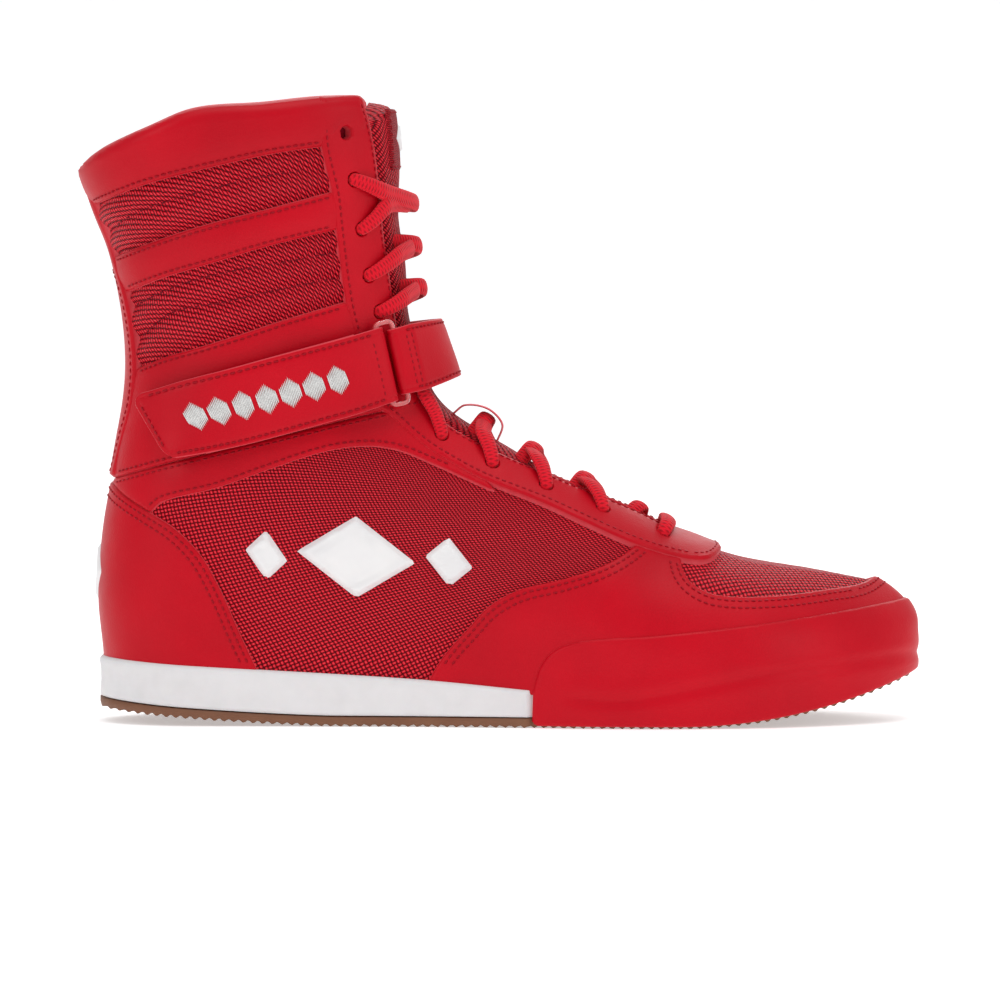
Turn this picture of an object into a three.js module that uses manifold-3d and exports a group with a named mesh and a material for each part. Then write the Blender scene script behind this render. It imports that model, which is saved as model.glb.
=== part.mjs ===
// Right-foot high-top boxing boot: gum outsole, foam midsole, mesh and synthetic upper,
// laced throat and a hook-and-loop ankle strap that turns back through a plastic ring.
// Millimetres, +Z up, +X towards the toe, -Y is the outer (lateral) side.
// The origin is on the flat of the outsole, under the middle of the foot.
import * as THREE from "three";
import Module from "manifold-3d";
import { mergeVertices } from "three/addons/utils/BufferGeometryUtils.js";

const wasm = await Module();
wasm.setup();

// ---- driving dimensions ----
const toeX = 144.5; // toe end of the upper
const flatHalf = 60; // the outsole is flat this far each way from the origin
const heelLift = 5.2; // how far the heel end of the tread is off the ground
const toeSpring = 17; // how far the toe end of the tread is off the ground
const outsoleThick = 3.6;
const gap = 0.3; // clearance between neighbouring pieces
const overlayThick = 1.2; // synthetic overlays
const meshThick = 1.5; // woven mesh base of the upper
const fillThick = 1.5; // foam, heel counter and toe puff
const liningThick = 1.0;
const boardThick = 2.0;
const sockThick = 4.0;
const tongueFaceThick = 1.2;
const tongueFoamThick = 1.6;
const tongueBackThick = 0.8;
const laceRadius = 1.7;
const eyeletRadius = 2.6;
const strapThick = 1.2;
const patchThick = 0.8; // hook and loop patches
const ringBar = 1.6; // side of the ring's square bar
const ringHalfLong = 14.6; // bar centre to the middle of the ring, along the strap's width
const ringHalfWide = 3.3; // bar centre to the middle of the ring, along the strap's length
const badgeThick = 1.6;
const labelThick = 0.8;
const tongueRise = 4.2; // how far the tongue bulges up between the facings

// Depth of each layer below (-) or above (+) the outer face of the first overlays.
const overlay = [-overlayThick, 0];
const mesh = [overlay[0] - gap - meshThick, overlay[0] - gap];
const fill = [mesh[0] - gap - fillThick, mesh[0] - gap];
const lining = [fill[0] - gap - liningThick, fill[0] - gap];
const trim = [gap, gap + overlayThick]; // second overlays, sewn over the first
const tongueTop = mesh[0] - 2 * laceRadius - 3 * gap;
const tongueFace = [tongueTop - tongueFaceThick, tongueTop];
const tongueFoam = [tongueFace[0] - gap - tongueFoamThick, tongueFace[0] - gap];
const tongueBack = [tongueFoam[0] - gap - tongueBackThick, tongueFoam[0] - gap];

// ---- smooth curves through stations ----
// Value at x of a smooth curve through [x, value] stations, held level past its ends.
function through(stations, x) {
  const last = stations.length - 1;
  if (x <= stations[0][0]) return stations[0][1];
  if (x >= stations[last][0]) return stations[last][1];
  let i = 0;
  while (x > stations[i + 1][0]) i++;
  const slope = (k) => {
    const a = stations[Math.max(k - 1, 0)];
    const b = stations[Math.min(k + 1, last)];
    return (b[1] - a[1]) / (b[0] - a[0]);
  };
  const [x0, y0] = stations[i];
  const [x1, y1] = stations[i + 1];
  const h = x1 - x0;
  const t = (x - x0) / h;
  const t2 = t * t;
  const t3 = t2 * t;
  return (
    (2 * t3 - 3 * t2 + 1) * y0 +
    (t3 - 2 * t2 + t) * h * slope(i) +
    (3 * t2 - 2 * t3) * y1 +
    (t3 - t2) * h * slope(i + 1)
  );
}

// A smooth polyline through control points, with about the given step between its points.
function smooth(points, step = 4) {
  const at = [0];
  for (let i = 1; i < points.length; i++) {
    const [a, b] = [points[i - 1], points[i]];
    at.push(at[i - 1] + Math.hypot(...b.map((v, k) => v - a[k])));
  }
  const total = at[at.length - 1];
  const count = Math.max(2, Math.round(total / step));
  const tracks = points[0].map((_, k) => points.map((p, i) => [at[i], p[k]]));
  return Array.from({ length: count + 1 }, (_, i) =>
    tracks.map((track) => through(track, (total * i) / count)),
  );
}

const clamp01 = (t) => Math.min(1, Math.max(0, t));
const smoothstep = (a, b, t) => {
  const u = clamp01((t - a) / (b - a));
  return u * u * (3 - 2 * u);
};
const rounding = (t) => Math.sqrt(1 - (1 - clamp01(t)) ** 2); // a quarter ellipse

// ---- the boot's form: half width and centre of every [x, z] point of its side view ----
const backLine = [ // [z, x] of the back edge
  [0, -144.5], [14, -144.5], [23, -144.2], [42, -146], [57, -145.5], [71, -144], [85, -141.5],
  [99, -139], [113, -136.5], [125, -135.5], [138, -136], [152, -138], [167, -141.5],
  [181, -147], [196, -152], [212, -157], [230, -161],
];
const ridgeLine = [ // [x, z] of the top of the foot and the front of the leg
  [158, 36], [146, 43.5], [140, 47], [133, 50], [123, 53.5], [109, 56.5], [92, 59.3],
  [76, 62.5], [57.5, 68], [48, 74], [38, 79], [26, 84.8], [16, 90.3], [2.7, 97.8],
  [-10, 105.3], [-21, 113.5], [-27.5, 122.5], [-31.5, 133], [-33, 143], [-34.6, 157],
  [-36.2, 171], [-37, 186], [-37.5, 201], [-38.5, 213], [-40, 222], [-41, 234],
];
const footHalfWidth = [
  [-147, 32.5], [-110, 33], [-70, 32], [-35, 32.5], [0, 37], [30, 44.5], [55, 48.5],
  [80, 48], [105, 44.5], [125, 42], [146, 40],
];
const legHalfWidth = [
  [50, 33], [90, 31.5], [115, 31], [140, 33], [170, 35.5], [200, 37.5], [230, 38.5],
];
const footCentre = [
  [-147, 0], [-100, -0.5], [-60, -2.5], [-20, -4], [20, -3], [55, 0], [90, 3.5], [120, 6], [146, 8],
];
const ridgeRounding = [ // [x along the ridge, depth over which the top rounds off]
  [-45, 50], [-32, 54], [-10, 60], [20, 56], [50, 46], [80, 40], [150, 36],
];
const backRounding = [[20, 33], [120, 38], [200, 44]];
const toeRounding = 58;
const wallTop = 22; // below this height the sides of the sole go straight down

const ridge = smooth(ridgeLine, 3);

// [signed distance, x of the nearest point] from a side-view point to the ridge, positive inside.
function toRidge(x, z) {
  let best = [Infinity, 0, 1];
  for (let i = 1; i < ridge.length; i++) {
    const [ax, az] = ridge[i - 1];
    const [dx, dz] = [ridge[i][0] - ax, ridge[i][1] - az];
    const t = clamp01(((x - ax) * dx + (z - az) * dz) / (dx * dx + dz * dz));
    const [nx, nz] = [ax + t * dx, az + t * dz];
    const far = Math.hypot(x - nx, z - nz);
    if (far < best[0]) best = [far, nx, Math.sign(dx * (z - az) - dz * (x - ax)) || 1];
  }
  return [best[0] * best[2], best[1]];
}
const backX = (z) => through(backLine, z);
const toeEnd = (z) => toeX - 34 * clamp01((z - 34) / 26) ** 2; // the toe leans back as it rises
const legShare = (z) => smoothstep(55, 115, z);

function halfWidth(x, zAsked) {
  const z = Math.max(zAsked, wallTop);
  const [deep, near] = toRidge(x, z);
  if (deep <= 0 || x >= toeEnd(z) || x <= backX(z)) return 0;
  const share = legShare(z);
  const wide = through(footHalfWidth, x) * (1 - share) + through(legHalfWidth, z) * share;
  return (
    wide *
    rounding(deep / through(ridgeRounding, near)) *
    rounding((toeEnd(z) - x) / toeRounding) *
    rounding((x - backX(z)) / through(backRounding, z))
  );
}
const centreY = (x, z) => through(footCentre, x) * (1 - legShare(z));
const ground = (x) =>
  x < -flatHalf
    ? heelLift * ((-flatHalf - x) / (toeX - flatHalf)) ** 1.5
    : toeSpring * Math.max(0, (x - flatHalf) / (toeX - flatHalf)) ** 2;
const feather = (x) => // top of the midsole, where the upper is lasted to it
  through(
    [
      [-147, 23], [-110, 20.6], [-29, 16], [8, 12.8], [39, 10.5], [60, 11], [85, 14], [110, 19],
      [127, 23], [146, 26],
    ],
    x,
  );

// ---- the form as rings from the ground to above the collar ----
const rings = 11;
const perSide = 9; // points on each side of a ring
const frontTarget = smooth(
  [[toeX + 1, 16.5], [toeX + 1, 34], [143, 48], [134, 52], [109, 59], [76, 65], [48, 77], [2.7, 101],
    [-21, 117], [-29, 135], [-34, 171], [-35.5, 201], [-39, 228]],
  2,
);
const backStart = 5;
const backEnd = 214;

function ringPoints(v) {
  const z0 = backStart + (backEnd - backStart) * v ** 1.35;
  const target = frontTarget[Math.round(v * (frontTarget.length - 1))];
  const x0 = backX(z0);
  const sag = (x) => {
    const straight = backStart + ((16.5 - backStart) * (x + toeX)) / (2 * toeX);
    return (ground(x) - straight) * (1 - v) ** 3;
  };
  const at = (q) => {
    const x = x0 + (target[0] - x0) * q;
    return [x, z0 + (target[1] - z0) * q + sag(x)];
  };
  const inside = (q) => {
    const [x, z] = at(q);
    const height = Math.max(z, wallTop);
    return x < toeEnd(height) && toRidge(x, height)[0] > 0;
  };
  let [low, high] = [0.3, 1];
  for (let i = 0; i < 30; i++) {
    const middle = (low + high) / 2;
    if (inside(middle)) low = middle;
    else high = middle;
  }
  const fine = 160;
  const line = [];
  for (let j = 0; j <= fine; j++) {
    const [x, z] = at(low * (0.5 - 0.5 * Math.cos((Math.PI * j) / fine)));
    line.push([x, j === 0 || j === fine ? 0 : halfWidth(x, z), z]);
  }
  const far = [0];
  for (let j = 1; j <= fine; j++)
    far.push(far[j - 1] + Math.hypot(...line[j].map((c, k) => c - line[j - 1][k])));
  const side = [];
  for (let i = 0; i <= perSide; i++) {
    const t = i / perSide;
    const want = far[fine] * (t - (0.3 * Math.sin(2 * Math.PI * t)) / (2 * Math.PI));
    let j = 1;
    while (j < fine && far[j] < want) j++;
    const u = clamp01((want - far[j - 1]) / (far[j] - far[j - 1]));
    side.push(line[j].map((c, k) => line[j - 1][k] + (c - line[j - 1][k]) * u));
  }
  const loop = side.map(([x, w, z]) => new THREE.Vector3(x, centreY(x, z) - w, z));
  for (let i = perSide - 1; i > 0; i--) {
    const [x, w, z] = side[i];
    loop.push(new THREE.Vector3(x, centreY(x, z) + w, z));
  }
  return loop;
}
const grid = Array.from({ length: rings + 1 }, (_, k) => {
  const t = k / rings;
  return ringPoints(0.72 * t + 0.28 * t * t);
});
for (const p of grid[0]) p.z -= 5; // the forms start below the tread and every sole piece is cut from them
const around = 2 * perSide;
const normals = grid.map((loop, k) =>
  loop.map((_, i) => {
    const along = loop[(i + 1) % around].clone().sub(loop[(i + around - 1) % around]);
    const up = grid[Math.min(k + 1, rings)][i].clone().sub(grid[Math.max(k - 1, 0)][i]);
    const n = along.cross(up);
    if (k < 2) n.z = 0;
    return n.normalize();
  }),
);

// ---- solids ----
function solid(geometry) {
  const g = geometry.clone();
  g.deleteAttribute("normal");
  g.deleteAttribute("uv");
  const m = mergeVertices(g, 1e-4);
  return new wasm.Manifold(
    new wasm.Mesh({
      numProp: 3,
      vertProperties: new Float32Array(m.attributes.position.array),
      triVerts: new Uint32Array(m.index.array),
    }),
  );
}

// The same, turned outside out if its faces point inwards.
function outward(geometry) {
  const made = solid(geometry);
  if (made.volume() > 0) return made;
  geometry.setIndex([...geometry.index.array].reverse());
  return solid(geometry);
}

// The whole form, grown or shrunk by a depth, closed at the ground and above the collar.
// The rise is added between the facings, where the tongue bulges up.
const riseShare = (z) => 0.35 + 0.65 * legShare(z);
const forms = new Map();
function form(depth, rise = 0) {
  const key = depth + " " + rise;
  if (forms.has(key)) return forms.get(key);
  const positions = [];
  grid.forEach((loop, k) =>
    loop.forEach((p, i) => {
      const w = Math.abs(p.y - centreY(p.x, p.z));
      const leg = legShare(p.z);
      const front = p.x > -70 && p.z > 60 ? 1 - smoothstep(3 + 3 * leg, 8 + 8 * leg, w) : 0;
      const height = depth + rise * front * riseShare(p.z);
      positions.push(...p.clone().addScaledVector(normals[k][i], height).toArray());
    }),
  );
  const index = [];
  const id = (k, i) => k * around + (i % around);
  for (let k = 0; k < rings; k++)
    for (let i = 0; i < around; i++)
      index.push(id(k, i), id(k, i + 1), id(k + 1, i + 1), id(k, i), id(k + 1, i + 1), id(k + 1, i));
  for (const [k, flip] of [[0, true], [rings, false]])
    for (let i = 0; i < perSide; i++) {
      const [a, b] = [i, i + 1];
      const [c, d] = [(around - i) % around, around - i - 1];
      const faces = [];
      if (b !== d) faces.push([a, b, d]);
      if (a !== c) faces.push([a, d, c]);
      for (const f of faces) index.push(...(flip ? f.reverse() : f).map((j) => id(k, j)));
    }
  const g = new THREE.BufferGeometry();
  g.setAttribute("position", new THREE.Float32BufferAttribute(positions, 3));
  g.setIndex(index);
  const made = solid(g);
  forms.set(key, made);
  return made;
}
const shell = ([low, high], rise = 0) => form(high, rise).subtract(form(low, rise));

// A bar across the boot whose side view is the outline: side -1 lateral, 1 medial, 0 both.
const reach = 90;
// The outline without points that lie on a straight run between their neighbours.
function corners(outline) {
  return outline.filter(([x, z], i) => {
    const [ax, az] = outline[(i + outline.length - 1) % outline.length];
    const [bx, bz] = outline[(i + 1) % outline.length];
    return Math.abs((x - ax) * (bz - az) - (z - az) * (bx - ax)) > 1e-3;
  });
}
function bar(outline, side = 0) {
  const shape = new THREE.Shape(corners(outline).map(([x, z]) => new THREE.Vector2(x, z)));
  const depth = side === 0 ? 2 * reach : reach;
  const g = new THREE.ExtrudeGeometry(shape, { depth, bevelEnabled: false });
  g.rotateX(Math.PI / 2);
  g.translate(0, side === 0 ? reach : side < 0 ? -gap / 2 : reach + gap / 2, 0);
  return solid(g);
}
const high = 260; // above everything
const curveAt = (height, from, to, step = 12, lift = 0) => {
  const count = Math.ceil((to - from) / step);
  return Array.from({ length: count + 1 }, (_, i) => {
    const x = from + ((to - from) * i) / count;
    return [x, height(x) + lift];
  });
};
const aboveCurve = (height, lift) => bar([...curveAt(height, -165, 165, 12, lift), [165, high], [-165, high]]);
const shift = (points, dx, dz) => points.map(([x, z]) => [x + dx, z + dz]);

// ---- outlines in the side view ----
const collarLine = smooth([
  [-165, 188], [-153.7, 196], [-146, 202], [-128, 210], [-110, 216.8], [-86, 218.8], [-66, 221],
], 13);
const throatLine = smooth(
  [[60, 71], [57, 67.6], [48, 73.2], [38, 77.6], [26.3, 82.5], [16.3, 87.4], [2.7, 94.4], [-10, 100.1],
    [-21, 107.2], [-31, 115], [-36.5, 125], [-38.2, 138], [-38.8, 148], [-40, 157.5], [-42.3, 170],
    [-45.2, 183.5], [-47.1, 197], [-48.7, 206], [-51.2, 212], [-55, 217.5], [-60.7, 219.8], [-66, 221]],
  6,
);
// The throat line moved back from the opening by a distance.
function throatBehind(distance) {
  return throatLine.slice(2, -2).map(([x, z], i, all) => {
    const [a, b] = [all[Math.max(i - 1, 0)], all[Math.min(i + 1, all.length - 1)]];
    const [dx, dz] = [b[0] - a[0], b[1] - a[1]];
    const long = Math.hypot(dx, dz);
    return [x - (dz / long) * distance, z + (dx / long) * distance];
  });
}
// The opening itself follows the ridge: [height, half width].
const throatHalf = [
  [66, 7], [70, 10], [85, 11.5], [105, 13.5], [125, 15], [150, 16.5], [190, 20], [225, 24],
];
function throatCutter() {
  const line = ridge.filter(([x, z], i) => x < 57 && (i % 3 === 0 || z < 72));
  const positions = [];
  for (const [i, [x, z]] of line.entries()) {
    const [a, b] = [line[Math.max(i - 1, 0)], line[Math.min(i + 1, line.length - 1)]];
    const long = Math.hypot(b[0] - a[0], b[1] - a[1]);
    const n = [(b[1] - a[1]) / long, -(b[0] - a[0]) / long];
    const y = centreY(x, z);
    const w = through(throatHalf, z);
    for (const [h, across] of [[-18, -w], [-18, w], [14, w], [14, -w]])
      positions.push(x + n[0] * h, y + across, z + n[1] * h);
  }
  const index = [];
  for (let k = 0; k < line.length - 1; k++)
    for (let j = 0; j < 4; j++) {
      const [a, b] = [4 * k + j, 4 * k + ((j + 1) % 4)];
      index.push(a, b, b + 4, a, b + 4, a + 4);
    }
  const e = 4 * (line.length - 1);
  index.push(0, 2, 1, 0, 3, 2, e, e + 1, e + 2, e, e + 2, e + 3);
  const g = new THREE.BufferGeometry();
  g.setAttribute("position", new THREE.Float32BufferAttribute(positions, 3));
  g.setIndex(index);
  return outward(g);
}
const throatHole = throatCutter();
const backOfThroat = throatBehind(24).filter(([, z]) => z < 195);
const throatWide = bar([
  [84, 75], [80, 46], [52, 46], ...backOfThroat.slice(3),
  [backOfThroat[backOfThroat.length - 1][0] - 2, high], [-40, high], [120, 160],
]);
const collarCut = bar([...collarLine, [-40, 223], [120, 223], [120, high], [-165, high]]);
const aboveFeather = aboveCurve(feather, gap);

const collarLow = smooth([
  [-160, 177], [-150, 181.3], [-128, 189.6], [-103.3, 196], [-82, 200.6], [-58, 204],
], 13);
const bandHigh = smooth([
  [-152, 160], [-143, 163.3], [-122, 171], [-103, 176.8], [-84, 181.5], [-54, 189.5],
], 13);
const bandLow = smooth([
  [-148, 147], [-139, 150.5], [-122, 157], [-103, 162.6], [-84, 168.3], [-52, 176],
], 13);
const ankleHigh = smooth([
  [-146, 119.5], [-136, 123.5], [-122, 129.2], [-108.8, 133], [-93.5, 137.7], [-79.3, 142.4],
  [-48, 151.5],
], 13);
const ankleLow = smooth([[-150, 83.5], [-141.5, 86], [-121, 92], [-84, 101], [-55, 108], [-34, 112.5]], 13);
const saddleLow = smooth([
  [-127, 74.5], [-122, 78.8], [-103, 83.5], [-84, 90.2], [-65, 96.3], [-50.8, 98.2], [-39.4, 96.9],
  [-27, 92], [-14, 86.2],
], 13);
const heelTop = smooth([
  [-155, 91], [-143, 86], [-137, 81], [-128, 75.6], [-117.5, 69.2], [-108.6, 60.4], [-101.5, 48],
  [-94.4, 32], [-84, 10],
], 13);
const forefootRear = smooth([
  [-36, 5], [-29, 16], [-23.4, 25], [-14.6, 35], [-7.5, 42.6], [3.2, 48.6], [17.4, 52.2],
  [31.6, 56.8], [41.5, 62.1], [54, 72],
], 13);
const ventLine = smooth([
  [62, 74], [60.5, 58], [63.5, 51.5], [72.4, 47], [92, 46.2], [113, 47.9], [126, 49.6], [134, 54],
], 6);
const eyestayLow = smooth([
  [-43.1, 109.3], [-31, 98.4], [-21, 92], [-10, 86.2], [11.7, 77.6], [29.8, 69.4], [43.5, 63.5],
  [56, 59.4], [66, 57.5], [71.5, 58.3], [75.5, 62], [78, 70],
], 13);
const facingRear = smooth([
  [-68, 226], [-67, 221], [-66, 203], [-62.5, 187], [-61, 173.6], [-58, 150], [-54.5, 135],
  [-50, 121], [-43.6, 110],
], 13);
const facingFoot = [[-43.6, 110], [-20, 126]]; // the facing and the eyestay meet under the strap
const backstayFront = smooth([
  [-152.5, 200], [-147, 184], [-140.5, 167], [-135, 151], [-132.5, 138], [-131.5, 125],
  [-132.5, 113], [-136, 100], [-139.5, 86.5],
], 13);
const randTop = smooth([
  [7.8, 12.8], [10.3, 21.3], [15.6, 27.7], [26.3, 31], [49.3, 32.7], [84.8, 36.2], [120.3, 40.5],
  [152, 44.5],
], 13);

// Side-view points of the eyelets, from the toe up to the collar.
const lowEyelets = [[53.6, 66.6], [32.6, 75.4], [12.6, 83.6], [-6.4, 91.6], [-24.3, 101.6]];
const highEyelets = [[-46.2, 145.2], [-49.9, 158], [-52.4, 174.3], [-55, 191.7], [-57.6, 208]];
const eyelets = [...lowEyelets, ...highEyelets];

// ---- points on the boot's surface ----
// The point at side-view [x, z] on one side (-1 lateral, 1 medial), raised by a height.
function spot(x, z, side, height = 0) {
  const w = halfWidth(x, z);
  const e = 0.4;
  const slopeX = (halfWidth(x + e, z) - halfWidth(x - e, z)) / (2 * e);
  const slopeZ = (halfWidth(x, z + e) - halfWidth(x, z - e)) / (2 * e);
  const turn = (centreY(x + e, z) - centreY(x - e, z)) / (2 * e);
  const n = new THREE.Vector3(-slopeX - side * turn, side, -slopeZ).normalize();
  return new THREE.Vector3(x, centreY(x, z) + side * w, z).addScaledVector(n, height);
}
function facing(x, z, side) {
  return spot(x, z, side, 1).sub(spot(x, z, side, 0)).normalize();
}
// A round bar along a direction, centred on a point.
function roundBar(centre, direction, radius, length, sides = 6) {
  const g = new THREE.CylinderGeometry(radius, radius, length, sides);
  const along = direction.clone().normalize();
  const turn = new THREE.Quaternion().setFromUnitVectors(new THREE.Vector3(0, 1, 0), along);
  g.applyQuaternion(turn);
  g.translate(...centre.toArray());
  return solid(g);
}
const eyeletCuts = {};
for (const side of [-1, 1])
  eyeletCuts[side] = eyelets.map(([x, z]) =>
    roundBar(spot(x, z, side, -1), facing(x, z, side), eyeletRadius, 9));
function punch(made, side) {
  for (const s of side ? [side] : [-1, 1]) for (const cut of eyeletCuts[s]) made = made.subtract(cut);
  return made;
}

// ---- assembly ----
const boot = new THREE.Group();
const colours = {
  synthetic: ["#d8142b", 0.5],
  mesh: ["#c4101f", 0.9],
  lining: ["#a80f1e", 0.9],
  lace: ["#d1101f", 0.85],
  white: ["#ebe9e7", 0.45],
  midsole: ["#dedcdb", 0.7],
  gum: ["#6f4127", 0.75],
  foam: ["#e6dfc8", 0.95],
  board: ["#cfc6b4", 0.9],
  plastic: ["#c98086", 0.25],
};
const finishes = Object.fromEntries(
  Object.entries(colours).map(([name, [color, roughness]]) => [
    name,
    new THREE.MeshStandardMaterial({ color, roughness, metalness: 0 }),
  ]),
);
function add(name, finish, made) {
  const m = made.getMesh();
  const positions = new Float32Array(m.numVert * 3);
  for (let i = 0; i < m.numVert; i++)
    positions.set(m.vertProperties.subarray(i * m.numProp, i * m.numProp + 3), i * 3);
  const g = new THREE.BufferGeometry();
  g.setAttribute("position", new THREE.BufferAttribute(positions, 3));
  g.setIndex(new THREE.BufferAttribute(m.triVerts, 1));
  const piece = new THREE.Mesh(g, finishes[finish]);
  piece.name = name;
  boot.add(piece);
}
const sides = [["lateral", -1], ["medial", 1]];

// Sole: each slice follows the rocker of the ground line.
const outsoleTop = (x) => ground(x) + outsoleThick;
const slice = (low, high_, from, to) =>
  bar([...curveAt(low, from, to, 10), ...curveAt(high_, from, to, 10).reverse()]);
const soleLip = 1.2; // how far the open sole edge stands out past the upper
const randStart = 6.5; // where the toe rand starts to cover the sole's edge
const midsoleTop = (x) => feather(x);
const midsoleLow = (x) => outsoleTop(x) + gap;
add("outsole", "gum",
  form(soleLip).intersect(slice(ground, outsoleTop, -155, randStart - gap))
    .add(form(0).intersect(slice(ground, outsoleTop, randStart - 1, 150))));
add("midsole", "midsole",
  form(soleLip).intersect(slice(midsoleLow, midsoleTop, -155, randStart - gap))
    .add(form(0).intersect(slice(midsoleLow, midsoleTop, randStart - 1, 150))));
const boardLow = (x) => feather(x) + gap;
const boardTop = (x) => boardLow(x) + boardThick;
const sockLow = (x) => boardTop(x) + gap;
const sockTop = (x) => sockLow(x) + sockThick;
add("insole_board", "board", form(mesh[0] - gap).intersect(slice(boardLow, boardTop, -155, 150)));
add("sockliner", "foam", form(lining[0] - gap).intersect(slice(sockLow, sockTop, -155, 150)));

// Upper base: mesh quarters and vamp.
const vampSeam = 48;
const upperMesh = shell(mesh).intersect(aboveFeather).subtract(throatHole).subtract(collarCut);
const quarterSide = [[-165, 0], [vampSeam - gap, 0], [vampSeam - gap, 90], [0, high], [-165, high]];
for (const [name, side] of sides)
  add("quarter_mesh_" + name, "mesh", punch(upperMesh.intersect(bar(quarterSide, side)), side));
const aheadOfSeam = bar([[vampSeam, 0], [165, 0], [165, 100], [vampSeam, 100]]);
add("vamp_mesh", "mesh", punch(upperMesh.intersect(aheadOfSeam)));

// Stiffeners and foam between the mesh and the lining.
const boardClear = aboveCurve(boardTop, gap);
const fillLayer = shell(fill).intersect(boardClear).subtract(throatWide).subtract(collarCut);
const counterTop = [[-165, 82], [-136, 80], [-115, 64], [-98, 40], [-92, 5], [-165, 5]];
add("heel_counter", "board", fillLayer.intersect(bar(counterTop)));
add("toe_puff", "board", fillLayer.intersect(bar([[104, 5], [108, 70], [165, 70], [165, 5]])));
const foamBody = [[-165, 88], [-136, 86], [-112, 70], [-70, 92], [-30, 110], [-30, high], [-165, high]];
for (const [name, side] of sides)
  add("ankle_foam_" + name, "foam", fillLayer.intersect(bar(foamBody, side)));
const liningTube = shell(lining).intersect(boardClear).subtract(throatWide).subtract(collarCut);
add("lining", "lining", liningTube);

// First overlays, sewn flat on the mesh.
const overlays = shell(overlay).intersect(aboveFeather).subtract(throatHole).subtract(collarCut);
add("forefoot_overlay", "synthetic",
  punch(overlays.intersect(bar([...forefootRear, [70, 90], [165, 90], [165, 0], [-36, 0]]))
    .subtract(bar([...ventLine, [134, 90], [62, 90]]))));
const heelArea = bar([...heelTop, [-84, -5], [-165, -5]]);
const heelClear = bar([...shift(heelTop, gap, gap), [-83, -5], [-168, -5]]);
add("heel_overlay", "synthetic", overlays.intersect(heelArea));
const between = (lowLine, highLine, side) => bar([...lowLine, ...[...highLine].reverse()], side);
for (const [name, side] of sides) {
  const collarArea = bar([...collarLow, [-40, high], [-165, high]], side);
  add("collar_band_" + name, "synthetic", punch(overlays.intersect(collarArea), side));
  add("shaft_band_" + name, "synthetic", punch(overlays.intersect(between(bandLow, bandHigh, side)), side));
  add("ankle_band_" + name, "synthetic",
    punch(overlays.intersect(between(ankleLow, ankleHigh, side)).subtract(heelClear), side));
  add("ankle_saddle_" + name, "synthetic",
    punch(overlays.intersect(between(saddleLow, shift(ankleLow, 0, -gap), side)).subtract(heelClear), side));
}

// Second overlays: backstay, facings, eyestay and toe rand.
const trims = shell(trim).subtract(throatHole);
add("backstay", "synthetic",
  trims.intersect(bar([...backstayFront, [-165, 88], [-170, 190]])).subtract(collarCut));
for (const [name, side] of sides)
  add("facing_" + name, "synthetic",
    punch(trims.intersect(bar([...facingRear, [-20, 126], [20, high]], side)).subtract(collarCut), side));
const eyestayTop = [[-44, 109.6], [-20, 125.6]];
add("eyestay", "synthetic",
  punch(trims.intersect(bar([...eyestayLow, [78, 90], ...[...eyestayTop].reverse()])), 0));
add("toe_rand", "synthetic",
  shell(trim).intersect(bar([[randStart, -2], ...randTop, [165, 46], [165, -2]]))
    .intersect(aboveCurve(ground, 2 * gap)));


// Tongue: face, foam and backing, from the vamp up to the collar, its wings under the quarters.
const wing = throatBehind(18).filter(([, z]) => z < 197);
const tongueArea = bar([
  [62, 52], ...wing.slice(2), [-72, 213], [-62, 218], [-30, 219], [-10, 180], [70, 110], [70, 60],
]);
add("tongue_face", "synthetic", shell(tongueFace, tongueRise).intersect(tongueArea));
add("tongue_foam", "foam", shell(tongueFoam, tongueRise).intersect(tongueArea));
add("tongue_back", "lining", shell(tongueBack, tongueRise).intersect(tongueArea));

// A bar along the boot whose outline is seen from behind or in front, between two x values.
function lengthBar(outline, from, to) {
  const shape = new THREE.Shape(outline.map(([y, z]) => new THREE.Vector2(y, z)));
  const g = new THREE.ExtrudeGeometry(shape, { depth: to - from, bevelEnabled: false });
  g.applyMatrix4(new THREE.Matrix4().set(0, 0, 1, from, 1, 0, 0, 0, 0, 1, 0, 0, 0, 0, 0, 1));
  return solid(g);
}
const lozenge = (u, v, halfLong, halfHigh, lean = 0) => [
  [u - halfLong, v - lean], [u, v - halfHigh], [u + halfLong, v + lean], [u, v + halfHigh],
];
const frame = (u0, u1, v0, v1) => [[u0, v0], [u1, v0], [u1, v1], [u0, v1]];
const labelLow = tongueTop + gap;
add("tongue_label", "synthetic",
  shell([labelLow, labelLow + labelThick], tongueRise).intersect(lengthBar(frame(-12, 12, 196, 216), -60, 0)));
const markLow = labelLow + labelThick + gap;
add("tongue_mark", "white",
  shell([markLow, markLow + 0.6], tongueRise).intersect(lengthBar(lozenge(0, 206.5, 7.5, 5), -60, 0)));
const heelMarkLow = gap;
add("heel_mark", "white",
  shell([heelMarkLow, heelMarkLow + 0.8]).intersect(lengthBar(lozenge(0, 53, 9, 10), -160, -130)));

// Side badges: a row of three raised lozenges on the mesh of each side.
const badgeLow = mesh[1] + gap;
const badgeLayer = shell([badgeLow, badgeLow + badgeThick]);
const badges = [["rear", -85.5, 60, 7.5, 9], ["middle", -54, 59.5, 21, 14.5], ["front", -21.5, 58, 8.5, 9]];
for (const [name, side] of sides)
  for (const [place, x, z, halfLong, halfHigh] of badges)
    add("badge_" + place + "_" + name, "white",
      badgeLayer.intersect(bar(lozenge(x, z, halfLong, halfHigh, -2), side)));

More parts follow.
